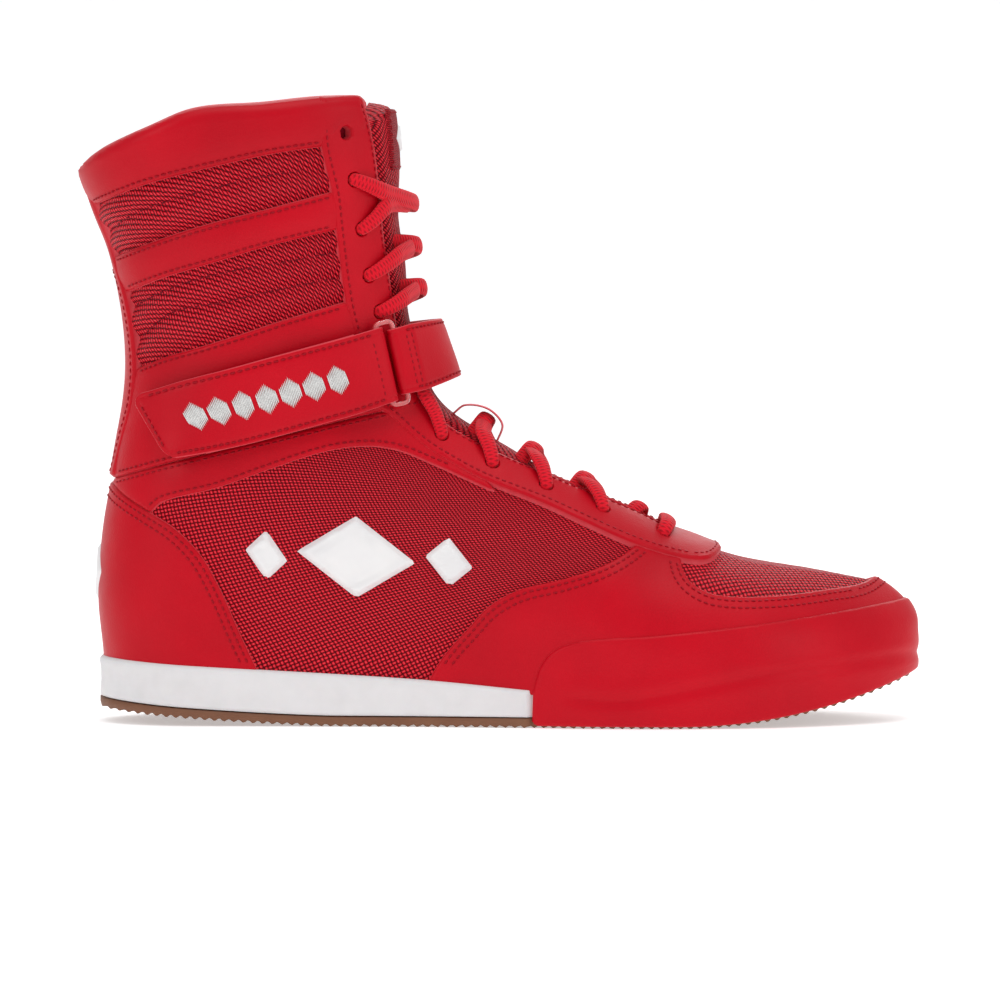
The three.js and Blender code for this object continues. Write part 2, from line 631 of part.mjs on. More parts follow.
// ---- laces ----
// A round cord with one cross-section at each of its points.
function tube(points, radius) {
  const shape = new THREE.Shape(
    Array.from({ length: 5 }, (_, i) => {
      const a = (i * 2 * Math.PI) / 5;
      return new THREE.Vector2(radius * Math.cos(a), radius * Math.sin(a));
    }),
  );
  const path = new THREE.CatmullRomCurve3(points, false, "centripetal");
  path.getPointAt = (u, target) => path.getPoint(u, target);
  path.getTangentAt = (u, target) => path.getTangent(u, target);
  const steps = points.length - 1;
  return solid(new THREE.ExtrudeGeometry(shape, { steps, bevelEnabled: false, extrudePath: path }));
}
// The point of the ridge nearest a side-view point, raised square to the ridge.
function onRidge(x, z, height) {
  let best = 1;
  const far = (i) => Math.hypot(x - ridge[i][0], z - ridge[i][1]);
  for (let i = 1; i < ridge.length - 1; i++) if (far(i) < far(best)) best = i;
  const [a, b] = [ridge[best - 1], ridge[best + 1]];
  const long = Math.hypot(b[0] - a[0], b[1] - a[1]);
  const n = new THREE.Vector3(b[1] - a[1], 0, -(b[0] - a[0])).divideScalar(long);
  const [x0, z0] = ridge[best];
  return new THREE.Vector3(x0, centreY(x0, z0), z0).addScaledVector(n, height);
}
const laceOver = trim[1] + gap + laceRadius;
const laceUnder = mesh[0] - gap - laceRadius;
const laceMiddle = (z) => tongueTop + tongueRise * riseShare(z) + 8 * gap + laceRadius;
const stemFoot = mesh[0] + gap;
const towards = ([ax, az], [bx, bz], t) => [ax + (bx - ax) * t, az + (bz - az) * t];
const apart = ([ax, az], [bx, bz]) => Math.hypot(ax - bx, az - bz);
const nearThroat = (place) =>
  throatLine.reduce((best, p) => (apart(p, place) < apart(best, place) ? p : best));
// Out of one eyelet and over the facing as far as its edge.
function leave(eyelet, side, next) {
  const edge = nearThroat(towards(eyelet, next, 0.35));
  const part = towards(eyelet, edge, 0.35);
  return [
    spot(...eyelet, side, stemFoot),
    spot(...eyelet, side, trim[1] + gap),
    spot(...part, side, laceOver + gap),
    spot(...edge, side, laceOver + gap),
  ];
}
// Under the far facing from its edge to the next eyelet.
function arrive(eyelet, side, previous) {
  const edge = nearThroat(towards(eyelet, previous, 0.35));
  return [spot(...edge, side, laceUnder), spot(...eyelet, side, laceUnder)];
}
// The material of the upper with its clearance, which the laces keep out of.
const punchedSkin = (() => {
  let skin = shell([mesh[0] - gap, trim[1] + gap]).subtract(throatHole);
  for (const side of [-1, 1])
    for (const [x, z] of eyelets)
      skin = skin.subtract(roundBar(spot(x, z, side, -1), facing(x, z, side), eyeletRadius - gap, 9));
  return skin;
})();
const tongueBody = form(tongueTop + gap, tongueRise).intersect(tongueArea);
const clearOfUpper = (made) => made.subtract(punchedSkin).subtract(tongueBody);
const toeEyelet = eyelets[0];
const toeHalves = [-1, 1].map((side) => leave(toeEyelet, side, toeEyelet));
add("lace_toe_bar", "lace",
  clearOfUpper(tube([...toeHalves[0], ...toeHalves[1].reverse()], laceRadius)));
const topCrossing = eyelets.length - 3; // the collar eyelets are left empty
for (let i = 0; i <= topCrossing; i++) {
  const [from, to] = [eyelets[i], eyelets[i + 1]];
  const centre = towards(from, to, 0.5);
  const middle = onRidge(...centre, laceMiddle(centre[1]));
  const strands = [-1, 1].map((side) => {
    const start = i === 0 ? arrive(from, side, to).reverse() : leave(from, side, to);
    const end = i === topCrossing ? leave(to, -side, from).reverse() : arrive(to, -side, from);
    return tube([...start, middle, ...end], laceRadius);
  });
  add("lace_crossing_" + (i + 1), "lace", clearOfUpper(strands[0].add(strands[1])));
}

// ---- ankle strap ----
// Cross-sections are straight over the strap's width: [top x, z, bottom x, z] in the side view.
const wrapLine = [
  [-49.5, 139.3, -43.5, 113], [-60, 136.3, -54, 109.5], [-74, 132.5, -70, 105],
  [-93, 127.2, -88, 100], [-112, 121.5, -104, 96], [-129, 114.5, -116.5, 92.8],
];
const strapBase = trim[1] + gap + 0.5;
function section([tx, tz, bx, bz], side, height = strapBase) {
  let top = spot(tx, tz, side, height);
  let bottom = spot(bx, bz, side, height);
  const across = top.clone().sub(bottom).normalize();
  const normal = facing((tx + bx) / 2, (tz + bz) / 2, side);
  normal.addScaledVector(across, -normal.dot(across)).normalize();
  let lift = 0;
  for (const w of [0.2, 0.35, 0.5, 0.65, 0.8]) {
    const on = spot(bx + (tx - bx) * w, bz + (tz - bz) * w, side, height);
    lift = Math.max(lift, on.sub(bottom.clone().lerp(top, w)).dot(normal));
  }
  top = top.addScaledVector(normal, lift);
  bottom = bottom.addScaledVector(normal, lift);
  return { top, bottom, normal };
}
// A strip along sections, between two heights above them, through places across (0 bottom, 1 top).
function strip(sections, [low, high_], across = [0, 0.12, 0.3, 0.7, 0.88, 1]) {
  const positions = [];
  for (const { top, bottom, normal } of sections)
    for (const h of [low, high_])
      for (const v of across)
        positions.push(...bottom.clone().lerp(top, v).addScaledVector(normal, h).toArray());
  const n = across.length;
  const id = (k, j, level) => (2 * k + level) * n + j;
  const index = [];
  const quad = (p, q, r, t) => index.push(p, q, r, p, r, t);
  const last = sections.length - 1;
  for (let k = 0; k < last; k++) {
    for (let j = 0; j < n - 1; j++) {
      quad(id(k, j, 0), id(k, j + 1, 0), id(k + 1, j + 1, 0), id(k + 1, j, 0));
      index.push(id(k, j, 1), id(k + 1, j + 1, 1), id(k, j + 1, 1));
      index.push(id(k, j, 1), id(k + 1, j, 1), id(k + 1, j + 1, 1));
    }
    quad(id(k, 0, 1), id(k, 0, 0), id(k + 1, 0, 0), id(k + 1, 0, 1));
    quad(id(k, n - 1, 0), id(k, n - 1, 1), id(k + 1, n - 1, 1), id(k + 1, n - 1, 0));
  }
  for (let j = 0; j < n - 1; j++) {
    quad(id(0, j, 0), id(0, j, 1), id(0, j + 1, 1), id(0, j + 1, 0));
    quad(id(last, j, 1), id(last, j, 0), id(last, j + 1, 0), id(last, j + 1, 1));
  }
  const g = new THREE.BufferGeometry();
  g.setAttribute("position", new THREE.Float32BufferAttribute(positions, 3));
  g.setIndex(index);
  return outward(g);
}
const wrapSections = (side, from = 0) => smooth(wrapLine, 9).slice(from).map((line) => section(line, side));
const anchorHeights = [0, strapThick];
const loopHeights = [anchorHeights[1] + gap, anchorHeights[1] + gap + patchThick];
const hookHeights = [loopHeights[1] + gap, loopHeights[1] + gap + patchThick];
const tabHeights = [hookHeights[1] + gap, hookHeights[1] + gap + strapThick];
const stitchHeights = [tabHeights[1] + gap, tabHeights[1] + gap + 0.6];
const barHeight = (anchorHeights[1] + tabHeights[0]) / 2;
const sleeveIn = (tabHeights[0] - anchorHeights[1]) / 2;
const wrap = wrapSections(-1);
const fold = wrap[0];
const ringAcross = fold.top.clone().sub(fold.bottom).normalize();
const ringForward = new THREE.Vector3().crossVectors(fold.normal, ringAcross).normalize();
if (ringForward.x < 0) ringForward.negate();
const rearBar = fold.top.clone().lerp(fold.bottom, 0.5).addScaledVector(fold.normal, barHeight);
const frontBar = rearBar.clone().addScaledVector(ringForward, 2 * ringHalfWide);

// A shape drawn in (forward, across or normal) placed with its origin at a point.
function placed(shape, depth, origin, u, v) {
  const w = new THREE.Vector3().crossVectors(u, v);
  const g = new THREE.ExtrudeGeometry(shape, { depth, bevelEnabled: false, curveSegments: 3 });
  g.translate(0, 0, -depth / 2);
  g.applyMatrix4(new THREE.Matrix4().makeBasis(u, v, w).setPosition(origin));
  return solid(g);
}
function rounded(halfU, halfV, r) {
  const s = new THREE.Shape();
  s.moveTo(-halfU + r, -halfV);
  s.lineTo(halfU - r, -halfV);
  s.quadraticCurveTo(halfU, -halfV, halfU, -halfV + r);
  s.lineTo(halfU, halfV - r);
  s.quadraticCurveTo(halfU, halfV, halfU - r, halfV);
  s.lineTo(-halfU + r, halfV);
  s.quadraticCurveTo(-halfU, halfV, -halfU, halfV - r);
  s.lineTo(-halfU, -halfV + r);
  s.quadraticCurveTo(-halfU, -halfV, -halfU + r, -halfV);
  return s;
}
// Part of a sleeve round a bar, between two angles from forward towards the normal.
function sleeve(centre, from, to, width) {
  const steps = 7;
  const arc = (r) =>
    Array.from({ length: steps + 1 }, (_, i) => {
      const a = ((from + ((to - from) * i) / steps) * Math.PI) / 180;
      return new THREE.Vector2(r * Math.cos(a), r * Math.sin(a));
    });
  const shape = new THREE.Shape([...arc(sleeveIn + strapThick), ...arc(sleeveIn).reverse()]);
  return placed(shape, width, centre, ringForward, fold.normal);
}
const ringShape = rounded(ringHalfWide + ringBar / 2, ringHalfLong + ringBar / 2, 2);
ringShape.holes.push(rounded(ringHalfWide - ringBar / 2, ringHalfLong - ringBar / 2, 1));
const ringCentre = rearBar.clone().lerp(frontBar, 0.5);
add("strap_ring", "plastic", placed(ringShape, ringBar, ringCentre, ringForward, ringAcross));
const strapWidth = fold.top.distanceTo(fold.bottom);
add("strap_tab", "synthetic", strip(wrap, tabHeights).add(sleeve(rearBar, -45, 92, strapWidth)));
add("strap_anchor", "synthetic", strip(wrap.slice(1, -2), anchorHeights));
add("loop_patch", "lining", strip(wrap.slice(3, -2), loopHeights, [0.12, 0.3, 0.7, 0.88]));
add("hook_patch", "lining", strip(wrap.slice(4, -2), hookHeights, [0.12, 0.3, 0.7, 0.88]));
add("strap_stitching", "white", strip(wrap.slice(2, -2), stitchHeights, [0.3, 0.7]));

// Front strap: from the ring, over the laces and round to the medial side.
const ridgeSection = (top, bottom, height) => {
  const t = onRidge(...top, height);
  const b = onRidge(...bottom, height);
  const across = t.clone().sub(b).normalize();
  return { top: t, bottom: b, normal: new THREE.Vector3(across.z, 0, -across.x) };
};
const bridge = laceOver + laceRadius + 8 * gap;
const nearLine = [-40.5, 140.6, -34, 115.5];
const ridgePlace = [[-32.5, 141.5], [-24.5, 117.5]];
const half = strapWidth / 2;
const barSection = {
  top: frontBar.clone().addScaledVector(ringAcross, half - 1.6),
  bottom: frontBar.clone().addScaledVector(ringAcross, 1.6 - half),
  normal: fold.normal,
};
for (const end of ["top", "bottom"])
  barSection[end]
    .addScaledVector(fold.normal, -strapThick / 2)
    .addScaledVector(ringForward, sleeveIn + strapThick / 2);
const frontSections = [
  barSection,
  section(nearLine, -1, bridge),
  ridgeSection(...ridgePlace, bridge),
  section(nearLine, 1, bridge),
  section(wrapLine[0], 1, bridge),
  ...wrapSections(1, 1),
];
add("front_strap", "synthetic",
  strip(frontSections, anchorHeights).add(sleeve(frontBar, -80, 260, 2 * (half - 1.6))));

export default boot;
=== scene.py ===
import math

import bpy
import numpy as np
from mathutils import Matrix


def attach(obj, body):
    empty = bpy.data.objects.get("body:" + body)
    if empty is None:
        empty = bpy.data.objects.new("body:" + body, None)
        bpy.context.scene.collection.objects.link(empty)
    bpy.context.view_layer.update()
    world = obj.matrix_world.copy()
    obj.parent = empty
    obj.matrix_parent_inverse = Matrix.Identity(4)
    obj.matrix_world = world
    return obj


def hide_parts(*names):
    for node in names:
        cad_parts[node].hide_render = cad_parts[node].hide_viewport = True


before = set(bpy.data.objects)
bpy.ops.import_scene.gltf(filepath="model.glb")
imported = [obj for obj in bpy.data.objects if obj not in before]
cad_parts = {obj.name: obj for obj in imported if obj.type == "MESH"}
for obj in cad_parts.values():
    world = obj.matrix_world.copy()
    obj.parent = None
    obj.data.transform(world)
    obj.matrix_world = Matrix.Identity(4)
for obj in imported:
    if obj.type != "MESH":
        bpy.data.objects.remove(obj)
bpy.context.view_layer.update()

# ---- The room ----
# The boot stands on a pale floor under a big soft lamp on each side and one overhead.
# The camera looks at the outer side from just above the floor, through a long lens.
def lamp(name, place, aim, power, size):
    light = bpy.data.lights.new(name, "AREA")
    light.energy = power
    light.shape = "DISK"
    light.size = size
    obj = bpy.data.objects.new(name, light)
    obj.location = place
    way = np.array(aim) - np.array(place)
    obj.rotation_euler = look(way)
    bpy.context.collection.objects.link(obj)


def look(way):
    flat = math.hypot(way[0], way[1])
    return (math.atan2(flat, -way[2]), 0, math.atan2(-way[0], way[1]))


middle = (-0.0035, 0.0, 0.078)
lens_from = 2.6
tilt = math.radians(2.5)
seen_width = 0.355
camera = bpy.data.cameras.new("camera")
camera.sensor_width = 36
camera.lens = 36 * lens_from / seen_width
camera.clip_end = 50
eye = bpy.data.objects.new("camera", camera)
eye.location = (middle[0], -lens_from * math.cos(tilt), middle[2] + lens_from * math.sin(tilt))
eye.rotation_euler = look(np.array(middle) - np.array(eye.location))
bpy.context.collection.objects.link(eye)
bpy.context.scene.camera = eye

lamp("lamp_over", (0.1, -0.3, 1.5), (0, 0, 0.1), 9, 1.3)
lamp("lamp_left", (-1.3, -1.2, 0.9), (0, 0, 0.1), 6, 0.9)
lamp("lamp_right", (1.4, -1.0, 0.7), (0, 0, 0.1), 4, 0.9)
lamp("lamp_back", (0.2, 1.5, 1.1), (0, 0, 0.1), 4, 1.0)
world = bpy.data.worlds.new("room")
world.use_nodes = True
background = world.node_tree.nodes["Background"]
background.inputs["Color"].default_value = (0.96, 0.97, 1, 1)
background.inputs["Strength"].default_value = 0.5
bpy.context.scene.world = world
bpy.context.scene.view_settings.view_transform = "Standard"

floor_mesh = bpy.data.meshes.new("floor")
bend = np.linspace(0, math.pi / 2, 13)
cove = [(-4, 0), *((2.4 + 1.2 * math.sin(a), 1.2 - 1.2 * math.cos(a)) for a in bend), (3.6, 4)]
floor_mesh.from_pydata([(side * 6, y, z) for y, z in cove for side in (-1, 1)], [],
                       [(2 * n, 2 * n + 1, 2 * n + 3, 2 * n + 2) for n in range(len(cove) - 1)])
floor = bpy.data.objects.new("floor", floor_mesh)
bpy.context.collection.objects.link(floor)
floor_paint = bpy.data.materials.new("floor")
floor_paint.use_nodes = True
for setting, value in (("Base Color", (0.9, 0.9, 0.9, 1)), ("Roughness", 0.6),
                       ("Emission Color", (1, 1, 1, 1)), ("Emission Strength", 0.42)):
    floor_paint.node_tree.nodes["Principled BSDF"].inputs[setting].default_value = value
floor_mesh.materials.append(floor_paint)

# ---- The last ----
# The foot-shaped block that the upper is pulled over, in millimetres. Its side view, half
# width and centre line set every panel of the boot, so panels meet as they do when lasted.
toe_x = 144.5
flat_half = 60
heel_lift = 5.2
toe_spring = 17
outsole_thick = 3.6
back_line = [
    [0, -144.5], [14, -144.5], [23, -144.2], [42, -146], [57, -145.5], [71, -144], [85, -141.5],
    [99, -139], [113, -136.5], [125, -135.5], [138, -136], [152, -138], [167, -141.5],
    [181, -147], [196, -152], [212, -157], [230, -161],
]
ridge_line = [
    [158, 36], [146, 43.5], [140, 47], [133, 50], [123, 53.5], [109, 56.5], [92, 59.3],
    [76, 62.5], [57.5, 68], [48, 74], [38, 79], [26, 84.8], [16, 90.3], [2.7, 97.8],
    [-10, 105.3], [-21, 113.5], [-27.5, 122.5], [-31.5, 133], [-33, 143], [-34.6, 157],
    [-36.2, 171], [-37, 186], [-37.5, 201], [-38.5, 213], [-40, 222], [-41, 234],
]
foot_half = [[-147, 32.5], [-110, 33], [-70, 32], [-35, 32.5], [0, 37], [30, 44.5], [55, 48.5],
             [80, 48], [105, 44.5], [125, 42], [146, 40]]
leg_half = [[50, 33], [90, 31.5], [115, 31], [140, 33], [170, 35.5], [200, 37.5], [230, 38.5]]
foot_centre = [[-147, 0], [-100, -0.5], [-60, -2.5], [-20, -4], [20, -3], [55, 0], [90, 3.5],
               [120, 6], [146, 8]]
ridge_round = [[-45, 50], [-32, 54], [-10, 60], [20, 56], [50, 46], [80, 40], [150, 36]]
back_round = [[20, 33], [120, 38], [200, 44]]
toe_round = 58
wall_top = 22
feather_line = [[-147, 23], [-110, 20.6], [-29, 16], [8, 12.8], [39, 10.5], [60, 11], [85, 14],
                [110, 19], [127, 23], [146, 26]]


def through(stations, x):
    """Values at x of one smooth line through stations of (x, value)."""
    s = np.array(stations, float)
    slope = np.empty(len(s))
    slope[1:-1] = (s[2:, 1] - s[:-2, 1]) / (s[2:, 0] - s[:-2, 0])
    slope[0] = (s[1, 1] - s[0, 1]) / (s[1, 0] - s[0, 0])
    slope[-1] = (s[-1, 1] - s[-2, 1]) / (s[-1, 0] - s[-2, 0])
    x = np.clip(np.asarray(x, float), s[0, 0], s[-1, 0])
    i = np.clip(np.searchsorted(s[:, 0], x, side="right") - 1, 0, len(s) - 2)
    h = s[i + 1, 0] - s[i, 0]
    t = (x - s[i, 0]) / h
    return ((2 * t**3 - 3 * t**2 + 1) * s[i, 1] + (t**3 - 2 * t**2 + t) * h * slope[i]
            + (3 * t**2 - 2 * t**3) * s[i + 1, 1] + (t**3 - t**2) * h * slope[i + 1])


def smooth(points, step=1.5):
    """A smooth line through the points, as points a step apart."""
    p = np.array(points, float)
    at = np.r_[0, np.cumsum(np.linalg.norm(np.diff(p, axis=0), axis=1))]
    t = np.linspace(0, at[-1], max(3, int(at[-1] / step) + 1))
    return np.stack([through(np.c_[at, p[:, k]], t) for k in range(p.shape[1])], axis=1)


def step_up(a, b, t):
    """A soft step from 0 at a to 1 at b."""
    u = np.clip((np.asarray(t, float) - a) / (b - a), 0, 1)
    return u * u * (3 - 2 * u)


def rounding(t):
    """A quarter circle: 0 at a cut edge, 1 where its roll ends."""
    return np.sqrt(np.maximum(0, 1 - (1 - np.clip(t, 0, 1)) ** 2))


ridge = smooth(ridge_line, 1.5)


def to_ridge(x, z):
    """Signed distance from side-view points to the ridge, and the place of the nearest point."""
    x, z = np.atleast_1d(x).astype(float), np.atleast_1d(z).astype(float)
    best = np.full(x.shape, 1e9)
    near = np.zeros(x.shape + (2,))
    sign = np.ones(x.shape)
    for (ax, az), (bx, bz) in zip(ridge[:-1], ridge[1:]):
        dx, dz = bx - ax, bz - az
        t = np.clip(((x - ax) * dx + (z - az) * dz) / (dx * dx + dz * dz), 0, 1)
        far = np.hypot(x - ax - t * dx, z - az - t * dz)
        closer = far < best
        best = np.where(closer, far, best)
        near[closer, 0] = (ax + t * dx)[closer]
        near[closer, 1] = (az + t * dz)[closer]
        sign = np.where(closer, np.where(dx * (z - az) - dz * (x - ax) >= 0, 1, -1), sign)
    return best * sign, near


def back_x(z):
    return through(back_line, z)


def toe_end(z):
    return toe_x - 34 * np.clip((z - 34) / 26, 0, 1) ** 2


def leg_share(z):
    return step_up(55, 115, z)


def half_width(x, z):
    """Half the last's width at side-view points, and 0 outside its outline."""
    x = np.atleast_1d(x).astype(float)
    z = np.maximum(np.atleast_1d(z).astype(float), wall_top)
    deep, near = to_ridge(x, z)
    share = leg_share(z)
    wide = through(foot_half, x) * (1 - share) + through(leg_half, z) * share
    w = (wide * rounding(deep / through(ridge_round, near[:, 0])) * rounding((toe_end(z) - x) / toe_round)
         * rounding((x - back_x(z)) / through(back_round, z)))
    return np.where((deep > 0) & (x < toe_end(z)) & (x > back_x(z)), w, 0)


def centre_y(x, z):
    return through(foot_centre, x) * (1 - leg_share(z))


def ground(x):
    """Height of the tread over the floor: flat, with a heel lift and a toe spring."""
    x = np.asarray(x, float)
    heel = heel_lift * (np.maximum(0, -flat_half - x) / (toe_x - flat_half)) ** 1.5
    toe = toe_spring * (np.maximum(0, x - flat_half) / (toe_x - flat_half)) ** 2
    return np.where(x < -flat_half, heel, toe)


def feather(x):
    return through(feather_line, x)


front_ends = smooth([[toe_x + 1, 16.5], [toe_x + 1, 34], [143, 48], [134, 52], [109, 59], [76, 65],
                     [48, 77], [2.7, 101], [-21, 117], [-29, 135], [-34, 171], [-35.5, 201],
                     [-39, 228]], 2)
rows = 170
side_count = 120
low_back, high_back = 5, 214


def last_row(v):
    """One side's row over the last, a share v of the way up, with its lengths from the back."""
    z0 = low_back + (high_back - low_back) * v**1.35
    k = v * (len(front_ends) - 1)
    i = min(int(k), len(front_ends) - 2)
    end = front_ends[i] + (front_ends[i + 1] - front_ends[i]) * (k - i)
    x0 = float(back_x(z0))

    def at(q):
        x = x0 + (end[0] - x0) * q
        straight = low_back + (16.5 - low_back) * (x + toe_x) / (2 * toe_x)
        return x, z0 + (end[1] - z0) * q + (ground(x) - straight) * (1 - v) ** 3

    tries = np.linspace(0.3, 1, 500)
    x, z = at(tries)
    high = np.maximum(z, wall_top)
    left = np.minimum(toe_end(high) - x, to_ridge(x, high)[0])
    out_at = np.argmax(left <= 0) if (left <= 0).any() else len(tries) - 1
    a, b = left[out_at - 1], left[out_at]
    stop = tries[out_at - 1] + (tries[out_at] - tries[out_at - 1]) * (a / (a - b) if b < 0 else 1)
    q = stop * (0.5 - 0.5 * np.cos(np.linspace(0, math.pi, 500)))
    x, z = at(q)
    w = half_width(x, z)
    w[0] = w[-1] = 0
    line = np.stack([x, w, z], axis=1)
    far = np.r_[0, np.cumsum(np.linalg.norm(np.diff(line, axis=0), axis=1))]
    t = np.linspace(0, 1, side_count + 1)
    want = far[-1] * (t - 0.3 * np.sin(2 * math.pi * t) / (2 * math.pi))
    return np.stack([np.interp(want, far, line[:, k]) for k in range(3)], axis=1), want


def last_grid():
    """The rows of both sides joined into loops, lowest first."""
    loops, arcs = [], []
    for k in range(rows + 1):
        t = k / rows
        line, arc = last_row(0.72 * t + 0.28 * t * t)
        c = centre_y(line[:, 0], line[:, 2])
        near = np.stack([line[:, 0], c - line[:, 1], line[:, 2]], axis=1)
        far = np.stack([line[:, 0], c + line[:, 1], line[:, 2]], axis=1)
        loops.append(np.r_[near, far[-2:0:-1]])
        arcs.append(np.r_[arc, -arc[-2:0:-1]])
    return np.array(loops), np.array(arcs)


loops, arcs = last_grid()
around = loops.shape[1]
along = np.roll(loops, -1, axis=1) - np.roll(loops, 1, axis=1)
up = np.gradient(loops, axis=0)
out = np.cross(along, up)
out[:2, :, 2] = 0
out /= np.linalg.norm(out, axis=2, keepdims=True) + 1e-12
for _ in range(2):
    out = out + 0.5 * (np.roll(out, 1, axis=1) + np.roll(out, -1, axis=1))
    out /= np.linalg.norm(out, axis=2, keepdims=True) + 1e-12
row_steps = np.linalg.norm(np.diff(loops, axis=0), axis=2)
rise_by_row = np.r_[np.zeros((1, around)), np.cumsum(row_steps, axis=0)]
near_all = to_ridge(loops[..., 0].ravel(), loops[..., 2].ravel())[1]
# Each point of the last holds its place, its way out, its lengths round and up, its distance off
# the centre line, and the height and the place along of the ridge nearest to it.
round_at, up_at, off_at, ridge_high_at, ridge_along_at = range(6, 11)
off_centre = loops[..., 1].ravel() - centre_y(loops[..., 0].ravel(), loops[..., 2].ravel())
last_points = np.column_stack([loops.reshape(-1, 3), out.reshape(-1, 3), arcs.ravel(),
                               rise_by_row.ravel(), off_centre, near_all[:, 1], near_all[:, 0]])
k, i = np.meshgrid(np.arange(rows), np.arange(around), indexing="ij")
a = (k * around + i).ravel()
b = (k * around + (i + 1) % around).ravel()
last_faces = np.r_[np.c_[a, b, b + around], np.c_[a, b + around, a + around]]


# ---- Cutting the panels ----
# Panels are cut out of the last's surface along their outlines, like leather round a pattern.
# Each outline is drawn in the side view, and the cut edge is rolled down to what lies under it.
def line_distance(points, x, z):
    """Distance from side-view points to a line."""
    best = np.full(x.shape, 1e9)
    for (ax, az), (bx, bz) in zip(points[:-1], points[1:]):
        dx, dz = bx - ax, bz - az
        t = np.clip(((x - ax) * dx + (z - az) * dz) / (dx * dx + dz * dz + 1e-12), 0, 1)
        best = np.minimum(best, np.hypot(x - ax - t * dx, z - az - t * dz))
    return best


def polygon_depth(points, x, z):
    """Distance inside a closed outline, negative outside it."""
    closed = np.array([*points, points[0]], float)
    inside = np.zeros(x.shape, bool)
    for (ax, az), (bx, bz) in zip(closed[:-1], closed[1:]):
        crosses = (az > z) != (bz > z)
        inside ^= crosses & (x < (bx - ax) * (z - az) / (bz - az + 1e-12) + ax)
    best = line_distance(closed, x, z)
    return np.where(inside, best, -best)


def split(points, faces, column, level):
    """Cuts every triangle along the line where a column of the points takes a level."""
    f = points[:, column] - level
    f = np.where(np.abs(f) < 1e-6, 1e-6, f)
    up_side = f > 0
    t = up_side[faces]
    mixed = t.any(axis=1) & ~t.all(axis=1)
    whole, cut = faces[~mixed], faces[mixed]
    if len(cut) == 0:
        return points, faces
    s = up_side[cut]
    lone = np.where(s.sum(axis=1) == 1, s.argmax(axis=1), (~s).argmax(axis=1))
    r = np.arange(len(cut))
    v0, v1, v2 = cut[r, lone], cut[r, (lone + 1) % 3], cut[r, (lone + 2) % 3]
    pairs = np.sort(np.r_[np.c_[v0, v1], np.c_[v0, v2]], axis=1)
    unique, where = np.unique(pairs, axis=0, return_inverse=True)
    where = where.ravel()
    fa, fb = f[unique[:, 0]], f[unique[:, 1]]
    share = (fa / (fa - fb))[:, None]
    fresh = points[unique[:, 0]] * (1 - share) + points[unique[:, 1]] * share
    fresh[:, column] = level
    base = len(points)
    p, q = base + where[:len(cut)], base + where[len(cut):]
    more = np.r_[np.c_[v0, p, q], np.c_[p, v1, v2], np.c_[p, v2, q]]
    return np.r_[points, fresh], np.r_[whole, more]


def used_only(points, faces):
    """The same faces, with only the points that they use."""
    used, where = np.unique(faces, return_inverse=True)
    return points[used], where.reshape(faces.shape)


def keep(points, faces, column, level):
    """What lies where a column of the points is above a level."""
    points, faces = split(points, faces, column, level)
    faces = faces[points[faces, column].mean(axis=1) > level + 1e-7]
    return used_only(points, faces)


mm = 0.001


def make_mesh(name, places, faces, paint, uv=None, edge=None, soft=True):
    """A mesh piece from places in millimetres, with its map and its distance from the cut edge."""
    mesh = bpy.data.meshes.new(name)
    places = np.asarray(places, float)
    faces = [tuple(int(v) for v in f) for f in faces]
    mesh.from_pydata((places * mm).tolist(), [], faces)
    if uv is not None:
        layer = mesh.uv_layers.new(name="map")
        index = np.empty(len(mesh.loops), int)
        mesh.loops.foreach_get("vertex_index", index)
        layer.data.foreach_set("uv", (np.asarray(uv, float) * mm)[index].ravel())
    if edge is not None:
        attribute = mesh.attributes.new("cut_edge", "FLOAT", "POINT")
        attribute.data.foreach_set("value", np.asarray(edge, float))
    if soft:
        mesh.polygons.foreach_set("use_smooth", [True] * len(mesh.polygons))
    mesh.materials.append(paint)
    mesh.update()
    obj = bpy.data.objects.new(name, mesh)
    bpy.context.collection.objects.link(obj)
    return obj


def tie(obj, nodes=(), body="boot"):
    """Fixes a piece to its body and hides the nodes that it stands for."""
    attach(obj, body)
    if nodes:
        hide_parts(*nodes)
    return obj


lx, lz = last_points[:, 0], last_points[:, 2]
side_of = last_points[:, off_at]
throat_half = [[66, 7], [70, 10], [85, 11.5], [105, 13.5], [125, 15], [150, 16.5], [190, 20], [225, 24]]
throat_foot = 57
collar_line = smooth([[-165, 188], [-153.7, 196], [-146, 202], [-128, 210], [-110, 216.8], [-86, 218.8],
                      [-66, 221], [-50, 221.5], [-20, 221.5]], 4)
lining_depth = -6.1
mesh_depth = -1.5
ridge_height, ridge_place = last_points[:, ridge_high_at], last_points[:, ridge_along_at]
past_foot = np.maximum(0, ridge_place - (throat_foot - 8)) * 1.2
from_throat = np.where(
    (lz > 60) & (lx > -80),
    np.hypot(side_of, past_foot) - through(throat_half, ridge_height), 40)
under_collar = through(collar_line, lx) - lz
rim = np.minimum(from_throat, under_collar)
lining_height = lining_depth + 3.6 * (1 - step_up(1, 14, from_throat))
above_sole = lz - feather(lx) + 1.5
eyelets = [[53.6, 66.6], [32.6, 75.4], [12.6, 83.6], [-6.4, 91.6], [-24.3, 101.6],
           [-46.2, 145.2], [-49.9, 158], [-52.4, 174.3], [-55, 191.7], [-57.6, 208]]
eyelet_radius = 2.1


